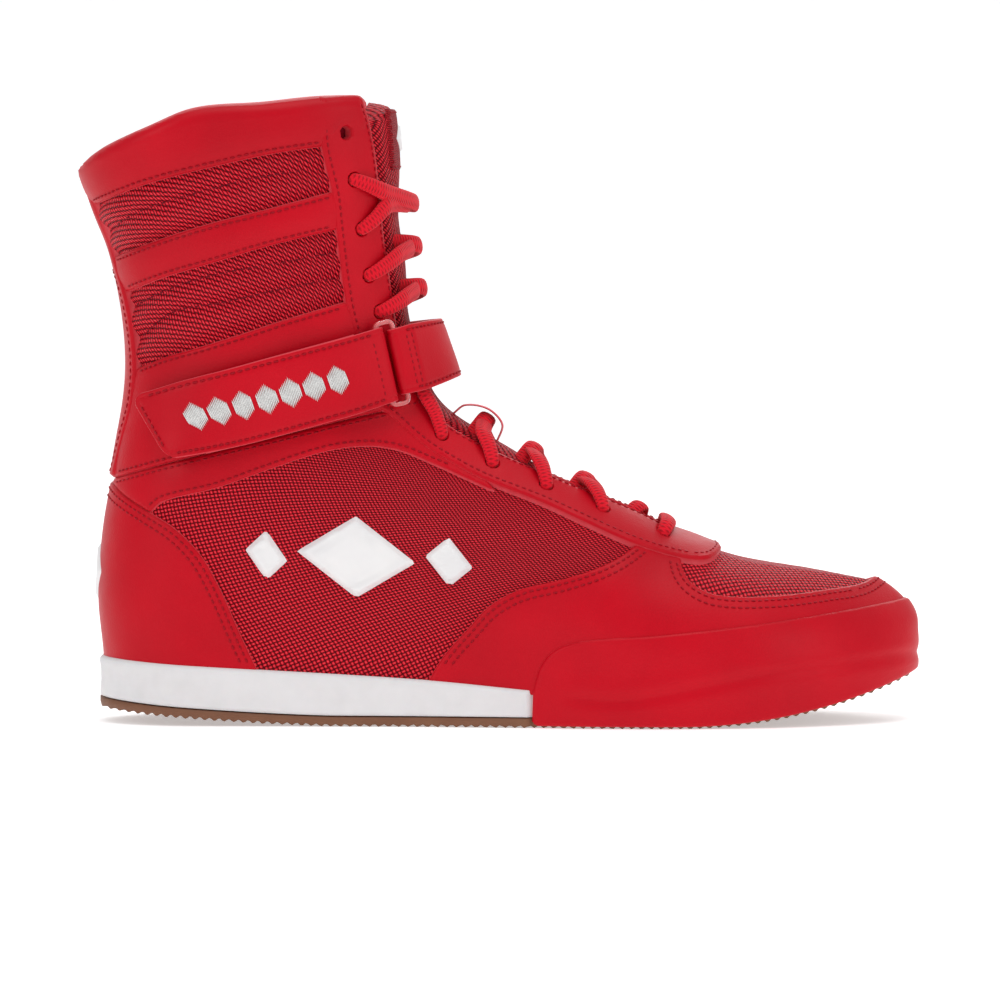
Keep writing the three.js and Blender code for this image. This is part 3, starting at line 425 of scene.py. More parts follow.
def spot(x, z, side, height=0.0):
    """Places on the last at side-view points on one side (-1 outer, 1 inner), and their ways out."""
    x, z = np.atleast_1d(x).astype(float), np.atleast_1d(z).astype(float)
    e = 0.4
    w = half_width(x, z)
    slope_x = (half_width(x + e, z) - half_width(x - e, z)) / (2 * e)
    slope_z = (half_width(x, z + e) - half_width(x, z - e)) / (2 * e)
    turn = (centre_y(x + e, z) - centre_y(x - e, z)) / (2 * e)
    way = np.stack([-slope_x - side * turn, np.full(x.shape, float(side)), -slope_z], axis=1)
    way /= np.linalg.norm(way, axis=1, keepdims=True)
    place = np.stack([x, centre_y(x, z) + side * w, z], axis=1)
    return place + way * np.reshape(height, (-1, 1)), way


from_eyelet = np.full(len(last_points), 99.0)
for ex, ez in eyelets:
    for side in (-1, 1):
        centre = spot(ex, ez, side)[0][0]
        from_eyelet = np.minimum(from_eyelet, np.linalg.norm(last_points[:, :3] - centre, axis=1))
hole = from_eyelet - eyelet_radius


def bevel(t):
    """A flat chamfer in place of a rolled edge."""
    return np.clip(t, 0, 1)


well_in = 40.0


def wholly(where):
    """A field that is well inside where the answer is yes and well outside elsewhere."""
    return np.where(where, well_in, -well_in)


field_at, rim_at, hole_at, puff_at, cut_at, under_at, base_at = range(11, 18)
hole_roll = 0.8
hole_sink = 1.6


def panel(name, nodes, paint, fields, low, high, roll=0.9, rim_roll=2.2, puff=None,
          holes=True, rimmed=True, profile=rounding, over=None, map_by=(round_at, up_at)):
    """A panel between two heights over the last, where every one of its fields is above 0."""
    no_edge = np.full(len(last_points), well_in)
    inside = np.minimum.reduce([np.asarray(f, float) for f in fields])
    edge_rim = rim if rimmed else no_edge
    edge_hole = hole if holes else no_edge
    extra = 0 * no_edge if puff is None else puff(lx, lz)
    cut = np.minimum.reduce([inside, edge_rim, edge_hole])
    base = 0 * no_edge if over is None else over
    points = np.column_stack([last_points, inside, edge_rim, edge_hole, extra, cut, lining_height, base])
    faces = last_faces[(points[last_faces, cut_at] > -4).any(axis=1)]
    points, faces = keep(*used_only(points, faces), cut_at, 0)
    for level in (0.3 * roll, roll):
        points, faces = split(points, faces, cut_at, level)
    if holes:
        points, faces = split(points, faces, hole_at, hole_roll)
    height = points[:, base_at] + low + (high - low) * profile(points[:, field_at] / roll)
    height = height + points[:, puff_at] * np.clip(points[:, cut_at] / 3, 0, 1)
    if rimmed:
        under = points[:, under_at]
        height = np.minimum(height, under + (height - under) * rounding(points[:, rim_at] / rim_roll))
    if holes:
        under = mesh_depth - hole_sink
        height = np.minimum(height, under + (height - under) * rounding(points[:, hole_at] / hole_roll))
    place = points[:, :3] + points[:, 3:6] * height[:, None]
    obj = make_mesh(name, place, faces, paint, points[:, map_by], points[:, cut_at])
    return tie(obj, nodes)


# Noise, threads and grain are all drawn by these, so that each finish is a short recipe.
class Recipe:
    def __init__(self, name, rough):
        self.paint = bpy.data.materials.new(name)
        self.paint.use_nodes = True
        self.tree = self.paint.node_tree
        self.shader = self.tree.nodes["Principled BSDF"]
        self.dial("Roughness", rough)
        self.height = None

    def dial(self, setting, value):
        self.shader.inputs[setting].default_value = value

    def node(self, kind, **settings):
        made = self.tree.nodes.new(kind)
        for key, value in settings.items():
            setattr(made, key, value)
        return made

    def join(self, source, target):
        self.tree.links.new(source, target)

    def sum(self, operation, a, b=None, c=None):
        made = self.node("ShaderNodeMath", operation=operation)
        for socket, value in zip(made.inputs, (a, b, c)):
            if value is None:
                continue
            if isinstance(value, (int, float)):
                socket.default_value = value
            else:
                self.join(value, socket)
        return made.outputs[0]

    def noise(self, scale, detail=4, where="Object"):
        made = self.node("ShaderNodeTexNoise")
        made.inputs["Scale"].default_value = scale
        made.inputs["Detail"].default_value = detail
        self.join(self.node("ShaderNodeTexCoord").outputs[where], made.inputs["Vector"])
        return made.outputs["Fac"]

    def cells(self, scale):
        made = self.node("ShaderNodeTexVoronoi")
        made.inputs["Scale"].default_value = scale
        self.join(self.node("ShaderNodeTexCoord").outputs["Object"], made.inputs["Vector"])
        return made.outputs["Distance"]

    def ramp(self, value, stops):
        made = self.node("ShaderNodeValToRGB")
        bar = made.color_ramp
        while len(bar.elements) < len(stops):
            bar.elements.new(0.5)
        for element, (at, colour) in zip(bar.elements, stops):
            element.position = at
            element.color = (*colour, 1)
        self.join(value, made.inputs["Fac"])
        return made.outputs["Color"]

    def blend(self, share, a, b):
        made = self.node("ShaderNodeMix", data_type="RGBA")
        for socket, value in (("Factor", share), ("A", a), ("B", b)):
            if isinstance(value, tuple):
                made.inputs[socket].default_value = (*value, 1)
            else:
                self.join(value, made.inputs[socket])
        return made.outputs["Result"]

    def map_axes(self):
        made = self.node("ShaderNodeSeparateXYZ")
        self.join(self.node("ShaderNodeUVMap", uv_map="map").outputs["UV"], made.inputs["Vector"])
        return made.outputs["X"], made.outputs["Y"]

    def edge(self, to):
        """1 on a piece's cut edge, and 0 from a little way in."""
        attribute = self.node("ShaderNodeAttribute", attribute_name="cut_edge")
        far_in = self.sum("DIVIDE", attribute.outputs["Fac"], to)
        return self.sum("SUBTRACT", 1, self.sum("SMOOTH_MIN", far_in, 1, 0.1))

    def bump(self, height, depth, strength=1.0):
        made = self.node("ShaderNodeBump")
        made.inputs["Strength"].default_value = strength
        made.inputs["Distance"].default_value = depth
        self.join(height, made.inputs["Height"])
        if self.height is not None:
            self.join(self.height, made.inputs["Normal"])
        self.height = made.outputs["Normal"]
        self.join(self.height, self.shader.inputs["Normal"])

    def colour(self, value):
        if isinstance(value, tuple):
            self.dial("Base Color", (*value, 1))
        else:
            self.join(value, self.shader.inputs["Base Color"])


# ---- Mesh quarters and vamp ----
# A coarse open basket weave of glossy red yarn in two quarters and a vamp. Its colour holds painted
# shade down the yarns' sides into near-black gaps and a pinkish painted highlight on their crowns.
# In the shaft it is quilted to its foam, so it stands up in soft rolls between the seams.
def weave_paint(name="woven_mesh", pitch=1.5):
    r = Recipe(name, 0.5)
    across, rising = r.map_axes()
    c, d = math.cos(0.45) * 1000 / pitch, math.sin(0.45) * 1000 / pitch
    u = r.sum("ADD", r.sum("MULTIPLY", across, c), r.sum("MULTIPLY", rising, d))
    v = r.sum("SUBTRACT", r.sum("MULTIPLY", rising, c), r.sum("MULTIPLY", across, d))
    wobble = r.sum("MULTIPLY", r.noise(260, 2), 0.25)
    u, v = r.sum("ADD", u, wobble), r.sum("ADD", v, wobble)
    over = r.sum("ABSOLUTE", r.sum("MODULO", r.sum("ADD", r.sum("FLOOR", u), r.sum("FLOOR", v)), 2))
    across_u = r.sum("ABSOLUTE", r.sum("SINE", r.sum("MULTIPLY", u, math.pi)))
    across_v = r.sum("ABSOLUTE", r.sum("SINE", r.sum("MULTIPLY", v, math.pi)))
    one = r.sum("MULTIPLY", across_u, r.sum("ADD", 0.45, r.sum("MULTIPLY", across_v, 0.55)))
    two = r.sum("MULTIPLY", across_v, r.sum("ADD", 0.45, r.sum("MULTIPLY", across_u, 0.55)))
    height = r.sum("ADD", r.sum("MULTIPLY", one, over),
                   r.sum("MULTIPLY", two, r.sum("SUBTRACT", 1, over)))
    # Colour follows the yarn's height: painted shade down its sides and near-black in the gaps, and a
    # pinkish painted highlight on its crowns.
    yarn_painted_light = r.ramp(height, [(0.15, (0.03, 0.0, 0.002)), (0.42, (0.3, 0.0, 0.008)),
                           (0.65, (0.7, 0.001, 0.016)), (0.95, (0.9, 0.05, 0.07))])
    r.colour(r.blend(r.sum("MULTIPLY", r.noise(60, 3), 0.12), yarn_painted_light, (0.4, 0.0, 0.012)))
    r.bump(height, 0.0007, 1.0)
    r.dial("Specular IOR Level", 0.15)
    return r.paint


woven = weave_paint()
collar_low = smooth([[-160, 177], [-150, 181.3], [-128, 189.6], [-103.3, 196], [-82, 200.6], [-58, 204]])
band_high = smooth([[-152, 160], [-143, 163.3], [-122, 171], [-103, 176.8], [-84, 181.5], [-54, 189.5]])
band_low = smooth([[-148, 147], [-139, 150.5], [-122, 157], [-103, 162.6], [-84, 168.3], [-52, 176]])
ankle_high = smooth([[-146, 119.5], [-136, 123.5], [-122, 129.2], [-108.8, 133], [-93.5, 137.7],
                     [-79.3, 142.4], [-48, 151.5]])
ankle_low = smooth([[-150, 83.5], [-141.5, 86], [-121, 92], [-84, 101], [-55, 108], [-34, 112.5]])
saddle_low = smooth([[-127, 74.5], [-122, 78.8], [-103, 83.5], [-84, 90.2], [-65, 96.3], [-50.8, 98.2],
                     [-39.4, 96.9], [-27, 92], [-14, 86.2]])
quilt_lines = [
    smooth([[-146, 171], [-131, 180], [-98, 190], [-81, 193.5], [-60, 196]]),
    smooth([[-136, 146], [-118, 154], [-101, 158.7], [-79, 162.6], [-56, 167]]),
    smooth([[-134, 134], [-119, 145], [-101, 148.4], [-76, 154], [-52, 158.5]]),
]
shaft_seams = [collar_low, band_high, band_low, ankle_high, *quilt_lines]


def quilting(x, z):
    """How far the mesh stands up between its seams in the shaft."""
    near = np.minimum.reduce([line_distance(line[::3], x, z) for line in shaft_seams])
    in_shaft = through(ankle_high, x) < z
    return np.where(in_shaft, 2.5 * (1 - np.exp(-(near / 3.0) ** 1.5)) - 0.6, 0)


vamp_seam = 48
outer, inner = -side_of + 0.5, side_of + 0.5
for side_name, field in (("lateral", outer), ("medial", inner)):
    panel("quarter_mesh_" + side_name, ["quarter_mesh_" + side_name, "ankle_foam_" + side_name],
          woven, [above_sole, field, vamp_seam - lx + 0.2], mesh_depth - 2, mesh_depth,
          puff=quilting)
panel("vamp_mesh", ["vamp_mesh", "toe_puff"], woven, [above_sole, lx - vamp_seam + 0.2],
      mesh_depth - 2, mesh_depth, map_by=(0, off_at))


# ---- Lining and insole ----
# A brushed red knit covers the inside from the collar to the insole, and a foam insole in the
# same knit lies loose on the board. The counter and the board are hidden between them.
def knit_paint():
    r = Recipe("brushed_knit", 0.95)
    fuzz = r.noise(1400, 3)
    r.colour(r.ramp(fuzz, [(0.3, (0.2, 0.003, 0.012)), (0.7, (0.42, 0.01, 0.03))]))
    r.bump(fuzz, 0.0003, 0.6)
    r.dial("Specular IOR Level", 0.15)
    r.dial("Sheen Weight", 0.25)
    r.dial("Sheen Tint", (1, 0.15, 0.2, 1))
    return r.paint


knit = knit_paint()
lining_points = np.column_stack([last_points, np.minimum(above_sole - 2, rim), lining_height])
points, faces = keep(lining_points, last_faces, 11, 0)
place = points[:, :3] + points[:, 3:6] * points[:, 12:13]
lining_piece = make_mesh("lining", place, faces[:, ::-1], knit, points[:, 6:8])
tie(lining_piece, ["lining", "heel_counter"])


def sole_outline(offset):
    """Both sides of the sole's plan from heel to toe, moved outwards by an offset."""
    q = 0.5 - 0.5 * np.cos(np.linspace(0, math.pi, 420))
    heel_x = float(back_x(wall_top)) + 0.02
    x = heel_x + (toe_x - heel_x) * q
    w = half_width(x, np.full(x.shape, float(wall_top)))
    w[0] = w[-1] = 0.05
    c = centre_y(x, np.full(x.shape, 10.0))
    both = []
    for side in (-1, 1):
        line = np.stack([x, c + side * w], axis=1)
        tangent = np.gradient(line, axis=0)
        way = side * np.stack([-tangent[:, 1], tangent[:, 0]], axis=1)
        way /= np.linalg.norm(way, axis=1, keepdims=True)
        way[0], way[-1] = (-1, 0), (1, 0)
        moved = line + way * np.reshape(offset(x) if callable(offset) else offset, (-1, 1))
        both.append(moved)
    return both


def slab(name, rings, paint, across=2, relief=None):
    """A closed slab from rings of (offset, height over x), lowest first, spanned top and bottom."""
    levels = []
    for offset, height in rings:
        near, far = sole_outline(offset)
        flat = np.r_[near, far[-2:0:-1]]
        levels.append(np.column_stack([flat, height(flat[:, 0])]))
    n = len(levels[0])
    half = n // 2
    places = np.concatenate(levels)
    skin = []
    for k in range(len(rings) - 1):
        for i in range(n):
            j = (i + 1) % n
            skin.append((k * n + i, k * n + j, (k + 1) * n + j, (k + 1) * n + i))
    for k, flip in ((0, True), (len(rings) - 1, False)):
        base = k * n
        spans = []
        extra = []
        for i in range(1, half):
            a, b = places[base + i], places[base + n - i]
            between = [a + (b - a) * j / across for j in range(1, across)]
            first = len(places) + len(extra)
            extra += between
            spans.append([base + i, *range(first, first + across - 1), base + n - i])
        extra = np.array(extra)
        if relief is not None and flip:
            extra[:, 2] += relief(extra[:, 0], extra[:, 1])
        places = np.r_[places, extra]
        for one, two in zip(spans[:-1], spans[1:]):
            for j in range(across):
                face = (one[j], two[j], two[j + 1], one[j + 1])
                skin.append(face[::-1] if flip else face)
        for end, tip in ((spans[0], base), (spans[-1], base + half)):
            for j in range(across):
                face = (tip, end[j], end[j + 1]) if end is spans[0] else (end[j], tip, end[j + 1])
                skin.append(face[::-1] if flip else face)
    return make_mesh(name, places, skin, paint, places[:, :2])


def over_feather(rise):
    return lambda x: feather(x) + rise


insole_piece = slab("insole", [(-8, over_feather(0.4)), (-7, over_feather(0.4)), (-7, over_feather(5.6)),
                               (-8, over_feather(6.6))], knit, across=6)
tie(insole_piece, ["sockliner", "insole_board"])


# ---- Outsole and midsole ----
# A gum tread with a cut herringbone, its teeth showing along the edge, cemented to a white
# moulded foam midsole. Ahead of the arch the toe rand covers the edge of both.
def gum_paint():
    r = Recipe("gum", 0.62)
    r.colour(r.ramp(r.noise(90, 6), [(0.3, (0.17, 0.062, 0.026)), (0.75, (0.2, 0.08, 0.035))]))
    r.bump(r.noise(900, 4), 0.0002, 0.6)
    return r.paint


def foam_paint():
    r = Recipe("midsole_foam", 0.6)
    scuffs = r.sum("MULTIPLY", r.noise(35, 8), r.noise(180, 3))
    r.colour(r.ramp(scuffs, [(0.1, (0.74, 0.72, 0.72)), (0.5, (0.68, 0.66, 0.66))]))
    r.bump(r.noise(1500, 3), 0.00012, 0.5)
    r.bump(r.noise(60, 2), 0.0004, 0.3)
    r.dial("Subsurface Weight", 0.05)
    return r.paint


tooth = 3.4
bar_pitch = 6.0
tooth_deep = 1.3


def herringbone(x, y):
    """Depth of the cuts in the tread."""
    wave = np.abs(((x + 0.8 * np.abs(((y / 12) % 2) - 1) * 12) / bar_pitch) % 1 - 0.5) * 2
    return tooth_deep * np.clip(wave * 3 - 1.2, 0, 1)


def edge_teeth(x):
    """The tread's edge, notched where the cuts run out."""
    wave = np.abs((x / tooth) % 1 - 0.5) * 2
    return ground(x) + 0.9 * np.clip(wave * 1.6 - 0.3, 0, 1)


rand_start = 6.5


def open_lip(wide):
    """An offset that stands out behind the toe rand and tucks in under it."""
    return lambda x: np.where(x < rand_start + 0.5, wide, np.minimum(wide, -0.6))


def over_ground(rise):
    return lambda x: ground(x) + rise


outsole_piece = slab("outsole", [
    (-1.4, edge_teeth), (open_lip(0.9), edge_teeth), (open_lip(1.3), over_ground(1.6)),
    (open_lip(1.3), over_ground(outsole_thick - 0.3)), (-2, over_ground(outsole_thick)),
], gum_paint(), across=70, relief=herringbone)
tie(outsole_piece, ["outsole"])
midsole_low = over_ground(outsole_thick + 0.02)


def share_up(t):
    """A height a share of the way up from the outsole to the feather line."""
    return lambda x: midsole_low(x) + (feather(x) - midsole_low(x)) * t


midsole_piece = slab("midsole", [(open_lip(wide), share_up(t)) for wide, t in (
    (-2, 0), (1.1, 0.02), (1.35, 0.12), (1.0, 0.4), (1.15, 0.72), (1.5, 0.86), (1.35, 0.96),
    (0.4, 1.03), (-3, 1.03))], foam_paint())
tie(midsole_piece, ["midsole"])


# ---- Overlays ----
# Satin red synthetic, 1.2 mm thick, die cut and sewn flat on the mesh: the forefoot and heel
# pieces, the collar, shaft and ankle bands, and the saddle under the strap.
def synthetic_paint(name="satin_synthetic", shade=(0.55, 0.0, 0.01), rough=0.4):
    r = Recipe(name, rough)
    mottled = r.noise(22, 5)
    deeper = tuple(c * 0.8 for c in shade)
    face = r.ramp(mottled, [(0.3, deeper), (0.7, shade)])
    # Each piece is painted a paler pink along its cut edge, fading out a little way in.
    pale_edge = r.edge(0.35)
    r.colour(r.blend(pale_edge, face, (0.72, 0.09, 0.11)))
    grain = r.cells(1500)
    r.bump(grain, 0.00012, 0.35)
    r.bump(r.noise(45, 3), 0.0009, 0.22)
    uneven = r.sum("ADD", r.sum("MULTIPLY", r.noise(150, 4), 0.16), rough - 0.06)
    r.join(uneven, r.shader.inputs["Roughness"])
    r.dial("Specular IOR Level", 0.16)
    return r.paint


satin = synthetic_paint()
beyond = 260
heel_top = smooth([[-155, 91], [-143, 86], [-137, 81], [-128, 75.6], [-117.5, 69.2], [-108.6, 60.4],
                   [-101.5, 48], [-94.4, 32], [-84, 10]])
forefoot_rear = smooth([[-36, 5], [-29, 16], [-23.4, 25], [-14.6, 35], [-7.5, 42.6], [3.2, 48.6],
                        [17.4, 52.2], [31.6, 56.8], [41.5, 62.1], [54, 72]])
vent_line = smooth([[62, 74], [60.5, 58], [63.5, 51.5], [72.4, 47], [92, 46.2], [113, 47.9], [126, 49.6],
                    [134, 54]])


def area(line, *corners):
    """A panel bounded by a line and some far corners."""
    return polygon_depth([*line, *corners], lx, lz)


forefoot = area(forefoot_rear, (70, 90), (190, 90), (190, -20), (-36, -20))
vent = -area(vent_line, (134, 90), (62, 90))
heel = area(heel_top, (-84, -20), (-190, -20), (-190, 91))
overlay_low = mesh_depth - 0.2


def cushion(depth, most):
    """A soft swell that reaches its height a few millimetres in from the edge."""
    return lambda x, z: most * (1 - np.exp(-(np.maximum(depth, 0) / 4) ** 1.5))


panel("forefoot_overlay", ["forefoot_overlay"], satin, [forefoot, vent, above_sole],
      overlay_low, 0)
panel("heel_overlay", ["heel_overlay"], satin, [heel, above_sole], overlay_low, 0.1)


def span(low_line, high_line):
    """A band between two lines."""
    return polygon_depth([*low_line, *high_line[::-1]], lx, lz)


def run_on(line, back=-175, front=-20):
    """A band's edge carried on straight past the back of the boot and under the facing."""
    slope_in = (line[1] - line[0]) / (line[1][0] - line[0][0])
    slope_out = (line[-1] - line[-2]) / (line[-1][0] - line[-2][0])
    first = line[0] + slope_in * (back - line[0][0])
    last = line[-1] + slope_out * (front - line[-1][0]) * 0.5
    return np.r_[[first], line, [last]]


bands = {
    "collar_band": area(run_on(collar_low), (-20, beyond), (-190, beyond)),
    "shaft_band": span(run_on(band_low), run_on(band_high)),
    "ankle_band": span(run_on(ankle_low), run_on(ankle_high)),
    "ankle_saddle": span(run_on(saddle_low, front=5), run_on(ankle_low)),
}
lift = {"collar_band": 1.6, "shaft_band": 0.7, "ankle_band": 0.6, "ankle_saddle": 0.3}
off_heel = -heel + 0.2
for band, field in bands.items():
    for side_name, half_field in (("lateral", outer), ("medial", inner)):
        fields = [field, half_field] + ([off_heel] if band.startswith("ankle") else [])
        name = f"{band}_{side_name}"
        panel(name, [name], satin, fields, overlay_low, 0, puff=cushion(field, lift[band]))


# ---- Backstay, facings, eyestay and toe rand ----
# The second layer, sewn over the first: the strip up the heel, the punched facings either side
# of the lace, the eyestay that joins them over the vamp, and the rand wrapped round the toe.
backstay_front = smooth([[-152.5, 200], [-147, 184], [-140.5, 167], [-135, 151], [-132.5, 138],
                         [-131.5, 125], [-132.5, 113], [-136, 100], [-139.5, 86.5]])
facing_rear = smooth([[-68, 226], [-67, 221], [-66, 203], [-62.5, 187], [-61, 173.6], [-58, 150],
                      [-54.5, 135], [-50, 121], [-43.6, 110]])
eyestay_low = smooth([[-43.1, 109.3], [-31, 98.4], [-21, 92], [-10, 86.2], [11.7, 77.6], [29.8, 69.4],
                      [43.5, 63.5], [56, 59.4], [66, 57.5], [71.5, 58.3], [75.5, 62], [78, 70]])
rand_top = smooth([[7.8, 12.8], [10.3, 21.3], [15.6, 27.7], [26.3, 31], [49.3, 32.7], [84.8, 36.2],
                   [120.3, 40.5], [152, 44.5]])
trim_high = 1.0
backstay = area(backstay_front, (-190, 84), (-190, 200))
panel("backstay", ["backstay"], satin, [backstay], mesh_depth - 1, trim_high)
facing = area(facing_rear, (0, 112), (20, beyond), (-68, beyond))
for side_name, half_field in (("lateral", outer), ("medial", inner)):
    panel("facing_" + side_name, ["facing_" + side_name], satin,
          [facing, half_field, lz - 108], overlay_low, trim_high, roll=1.0)
eyestay = area(eyestay_low, (90, 100), (-20, 135), (-48, 112))
panel("eyestay", ["eyestay"], satin, [eyestay], overlay_low, trim_high + 0.1)
rand = area(rand_top, (190, 48), (190, -30), (rand_start, -30))
crease = smooth([[22, 10.7], [40, 9.8], [93, 19.3], [122, 22.2], [147, 24]])


def rand_puff(x, z):
    """The moulded crease along the rand, with a soft roll above it."""
    near = line_distance(crease[::3], x, z)
    return 0.3 * np.exp(-((near - 4) / 3) ** 2) - 0.5 * np.exp(-(near / 1.5) ** 2)


panel("toe_rand", ["toe_rand"], satin, [rand, lz - ground(lx) - 0.6], -1.0, trim_high,
      roll=1.2, puff=rand_puff, holes=False, rimmed=False)


# ---- Seams ----
# Red bonded thread, about ten stitches to the inch, in single or double rows just inside each
# panel's cut edge. Every stitch is a short raised length of thread between two needle holes.
clear_at = field_at + 1


def contour(field, level, clear):
    """Lines over the last where a field takes a level, as runs of its points with clear in them."""
    points = np.column_stack([last_points, field, clear])
    near = np.abs(points[last_faces, field_at] - level).min(axis=1) < 6
    points, faces = split(points, last_faces[near], field_at, level)
    on = np.abs(points[:, field_at] - level) < 1e-9
    edges = np.r_[faces[:, :2], faces[:, 1:], faces[:, ::2]]
    edges = edges[on[edges].all(axis=1)]
    edges = np.unique(np.sort(edges, axis=1), axis=0)
    links = {}
    for p, q in edges.tolist():
        links.setdefault(p, []).append(q)
        links.setdefault(q, []).append(p)
    runs, seen = [], set()
    for start in sorted(links, key=lambda n: (len(links[n]) != 1, n)):
        if start in seen:
            continue
        run, here = [start], start
        seen.add(start)
        while True:
            onward = [n for n in links[here] if n not in seen]
            if not onward:
                break
            here = onward[0]
            seen.add(here)
            run.append(here)
        if len(run) > 3:
            runs.append(points[run])
    return runs


def thread_piece(name, stitches, thick, paint, body="boot"):
    """Short rounded lengths of thread, from (start, end, way out) in millimetres."""
    turns = 5
    profile = [(0.0, 0.0, -0.35), (0.12, 0.75, -0.05), (0.35, 1.0, 0.12),
               (0.65, 1.0, 0.12), (0.88, 0.75, -0.05), (1.0, 0.0, -0.35)]
    places = []
    start, end, way = (np.array(c, float) for c in zip(*stitches))
    ahead = end - start
    side_way = np.cross(ahead, way)
    side_way /= np.linalg.norm(side_way, axis=1, keepdims=True) + 1e-12
    for t, wide, lifted in profile:
        for j in range(turns):
            a = 2 * math.pi * j / turns
            places.append(start + ahead * t + side_way * (math.cos(a) * wide * thick)
                          + way * (math.sin(a) * wide * thick * 0.8 + lifted * thick * 1.5))
    count = len(profile) * turns
    places = np.stack(places, axis=1).reshape(-1, 3)
    one = []
    for k in range(len(profile) - 1):
        for j in range(turns):
            m = (j + 1) % turns
            one.append((k * turns + j, k * turns + m, (k + 1) * turns + m, (k + 1) * turns + j))
    skin = (np.array(one)[None] + np.arange(len(start))[:, None, None] * count).reshape(-1, 4)
    obj = make_mesh(name, places, skin, paint, places[:, [0, 2]])
    return tie(obj, body=body)


def thread_paint(name, shade):
    r = Recipe(name, 0.55)
    twist = r.noise(3000, 2)
    r.colour(r.ramp(twist, [(0.3, tuple(c * 0.6 for c in shade)), (0.7, shade)]))
    r.bump(twist, 0.0001, 0.5)
    r.dial("Specular IOR Level", 0.2)
    return r.paint


red_thread = thread_paint("red_thread", (0.4, 0.0, 0.01))
thread_thick = 0.34
pitch = 2.5
seen_length = 1.85


def along_run(run, height):
    """Stitches along a run of points, as (start, end, way out)."""
    far = np.r_[0, np.cumsum(np.linalg.norm(np.diff(run[:, :3], axis=0), axis=1))]
    n = int(far[-1] / pitch)
    found = []
    for i in range(n):
        a, b = i * pitch + 0.3, i * pitch + 0.3 + seen_length
        at = lambda d: np.array([np.interp(d, far, run[:, k]) for k in range(run.shape[1])])
        p, q = at(a), at(b)
        if min(p[clear_at], q[clear_at]) <= 0:
            continue
        way = p[3:6] / np.linalg.norm(p[3:6])
        found.append((p[:3] + way * height, q[:3] + way * height, way))
    return found


under_trim = -np.maximum.reduce([backstay, np.minimum(facing, lz - 108), eyestay]) - 0.5
free = np.minimum.reduce([rim - 1.5, above_sole - 3, under_trim, hole - 1])
seam_rows = [
    (heel, (2.0, 4.3), 0.2, np.minimum.reduce([free, -rand])),
    (np.minimum(forefoot, vent), (2.0, 4.3), 0.1,
     np.minimum.reduce([free, -rand - 0.5, above_sole - 7])),
    (bands["collar_band"], (1.7,), 0.6, free),
    (bands["shaft_band"], (1.6,), 0.35, free),
    (bands["ankle_band"], (1.6,), 0.3, np.minimum(free, off_heel - 1)),
    (bands["ankle_saddle"], (1.8,), 0.15, np.minimum(free, off_heel - 1)),
    (backstay, (1.6,), trim_high + 0.05, np.minimum(rim - 1.5, lz - 88)),
    (np.minimum(facing, from_throat), (2.0,), trim_high + 0.05,
     np.minimum.reduce([under_collar - 3, lz - 112, hole - 1])),
    (np.minimum(eyestay, from_throat), (2.0,), trim_high + 0.1,
     np.minimum.reduce([116 - lz, hole - 1, lx + 44])),
]
stitches = []
for field, offsets, height, clear in seam_rows:
    for offset in offsets:
        for run in contour(np.maximum(field, -8), offset, clear):
            stitches += along_run(run, height)
thread_piece("seam_stitching", stitches, thread_thick, red_thread)
quilted = []
for line in quilt_lines:
    signed = lz - through(line, lx)
    in_span = np.minimum.reduce([free, lx - line[0][0] + 10, -52 - lx])
    for run in contour(np.clip(signed, -8, 8), 0.0, in_span):
        quilted += along_run(run, mesh_depth - 0.35)
# The quilting thread is the red thread at half its brightness: real thread, painted darker as shade for the
# creases that it lies in.
quilt_thread_painted_shade = thread_paint("red_thread_painted_shade", (0.2, 0.0, 0.01))
thread_piece("quilt_stitching", quilted, 0.3, quilt_thread_painted_shade)


# ---- Tongue ----
# A padded tongue sewn to the vamp under the foot of the eyestay. Its face is the same mesh and
# its wings lie under the facings, so it swells up between them where the lace crosses it.
tongue_top, tongue_rise = -7.3, 5.0
leg = leg_share(ridge_height)
share = 0.4 + 0.6 * leg
across_throat = np.abs(side_of) / (through(throat_half, ridge_height) + 1)
swell = tongue_rise * share * (1 - step_up(0.7, 1.12, across_throat))
tongue_field = np.minimum.reduce([
    13 - from_throat, 220.5 - lz - 0.018 * side_of**2, 62 - ridge_place,
    wholly((lz > 56) & (lx > -85))])


def tongue_quilt(x, z):
    """The padded swell of the tongue, with ribs across it."""
    return swell + 0.5 * np.cos(ridge_height / 5.2) * (1 - step_up(4, 12, np.abs(side_of)))


tongue_woven = weave_paint("tongue_mesh", 1.2)
panel("tongue_face", ["tongue_face", "tongue_foam"], tongue_woven, [tongue_field],
      tongue_top - 3, tongue_top, roll=4, puff=tongue_quilt, holes=False, rimmed=False,
      map_by=(up_at, off_at))
back_points = np.column_stack([last_points, tongue_field, swell])
points, faces = keep(back_points, last_faces, 11, 0)
in_from, swelled = points[:, 11:12], points[:, 12:13]
back_height = tongue_top - 3 - 1.2 * rounding(in_from / 4) + swelled * np.clip(in_from / 3, 0, 1)
place = points[:, :3] + points[:, 3:6] * back_height
tongue_back_piece = make_mesh("tongue_back", place, faces[:, ::-1], knit, points[:, 6:8])
tie(tongue_back_piece, ["tongue_back"])
label_paint = weave_paint("woven_label", 0.5)
ahead_of_leg = wholly(lx > -75)
on_label = np.minimum.reduce([12.5 - np.abs(side_of), lz - 195, 217 - lz, ahead_of_leg])
panel("tongue_label", ["tongue_label"], label_paint, [on_label], tongue_top - 0.1,
      tongue_top + 0.9, roll=0.8, over=swell, holes=False, rimmed=False)

label_rows = []
for run in contour(np.clip(on_label, -8, 8), 1.3, ahead_of_leg):
    run[:, :3] += run[:, 3:6] * (0.4 + 0.6 * leg_share(run[:, 9:10])) * tongue_rise
    label_rows += along_run(run, tongue_top + 0.95)
thread_piece("label_stitching", label_rows, 0.28, red_thread)


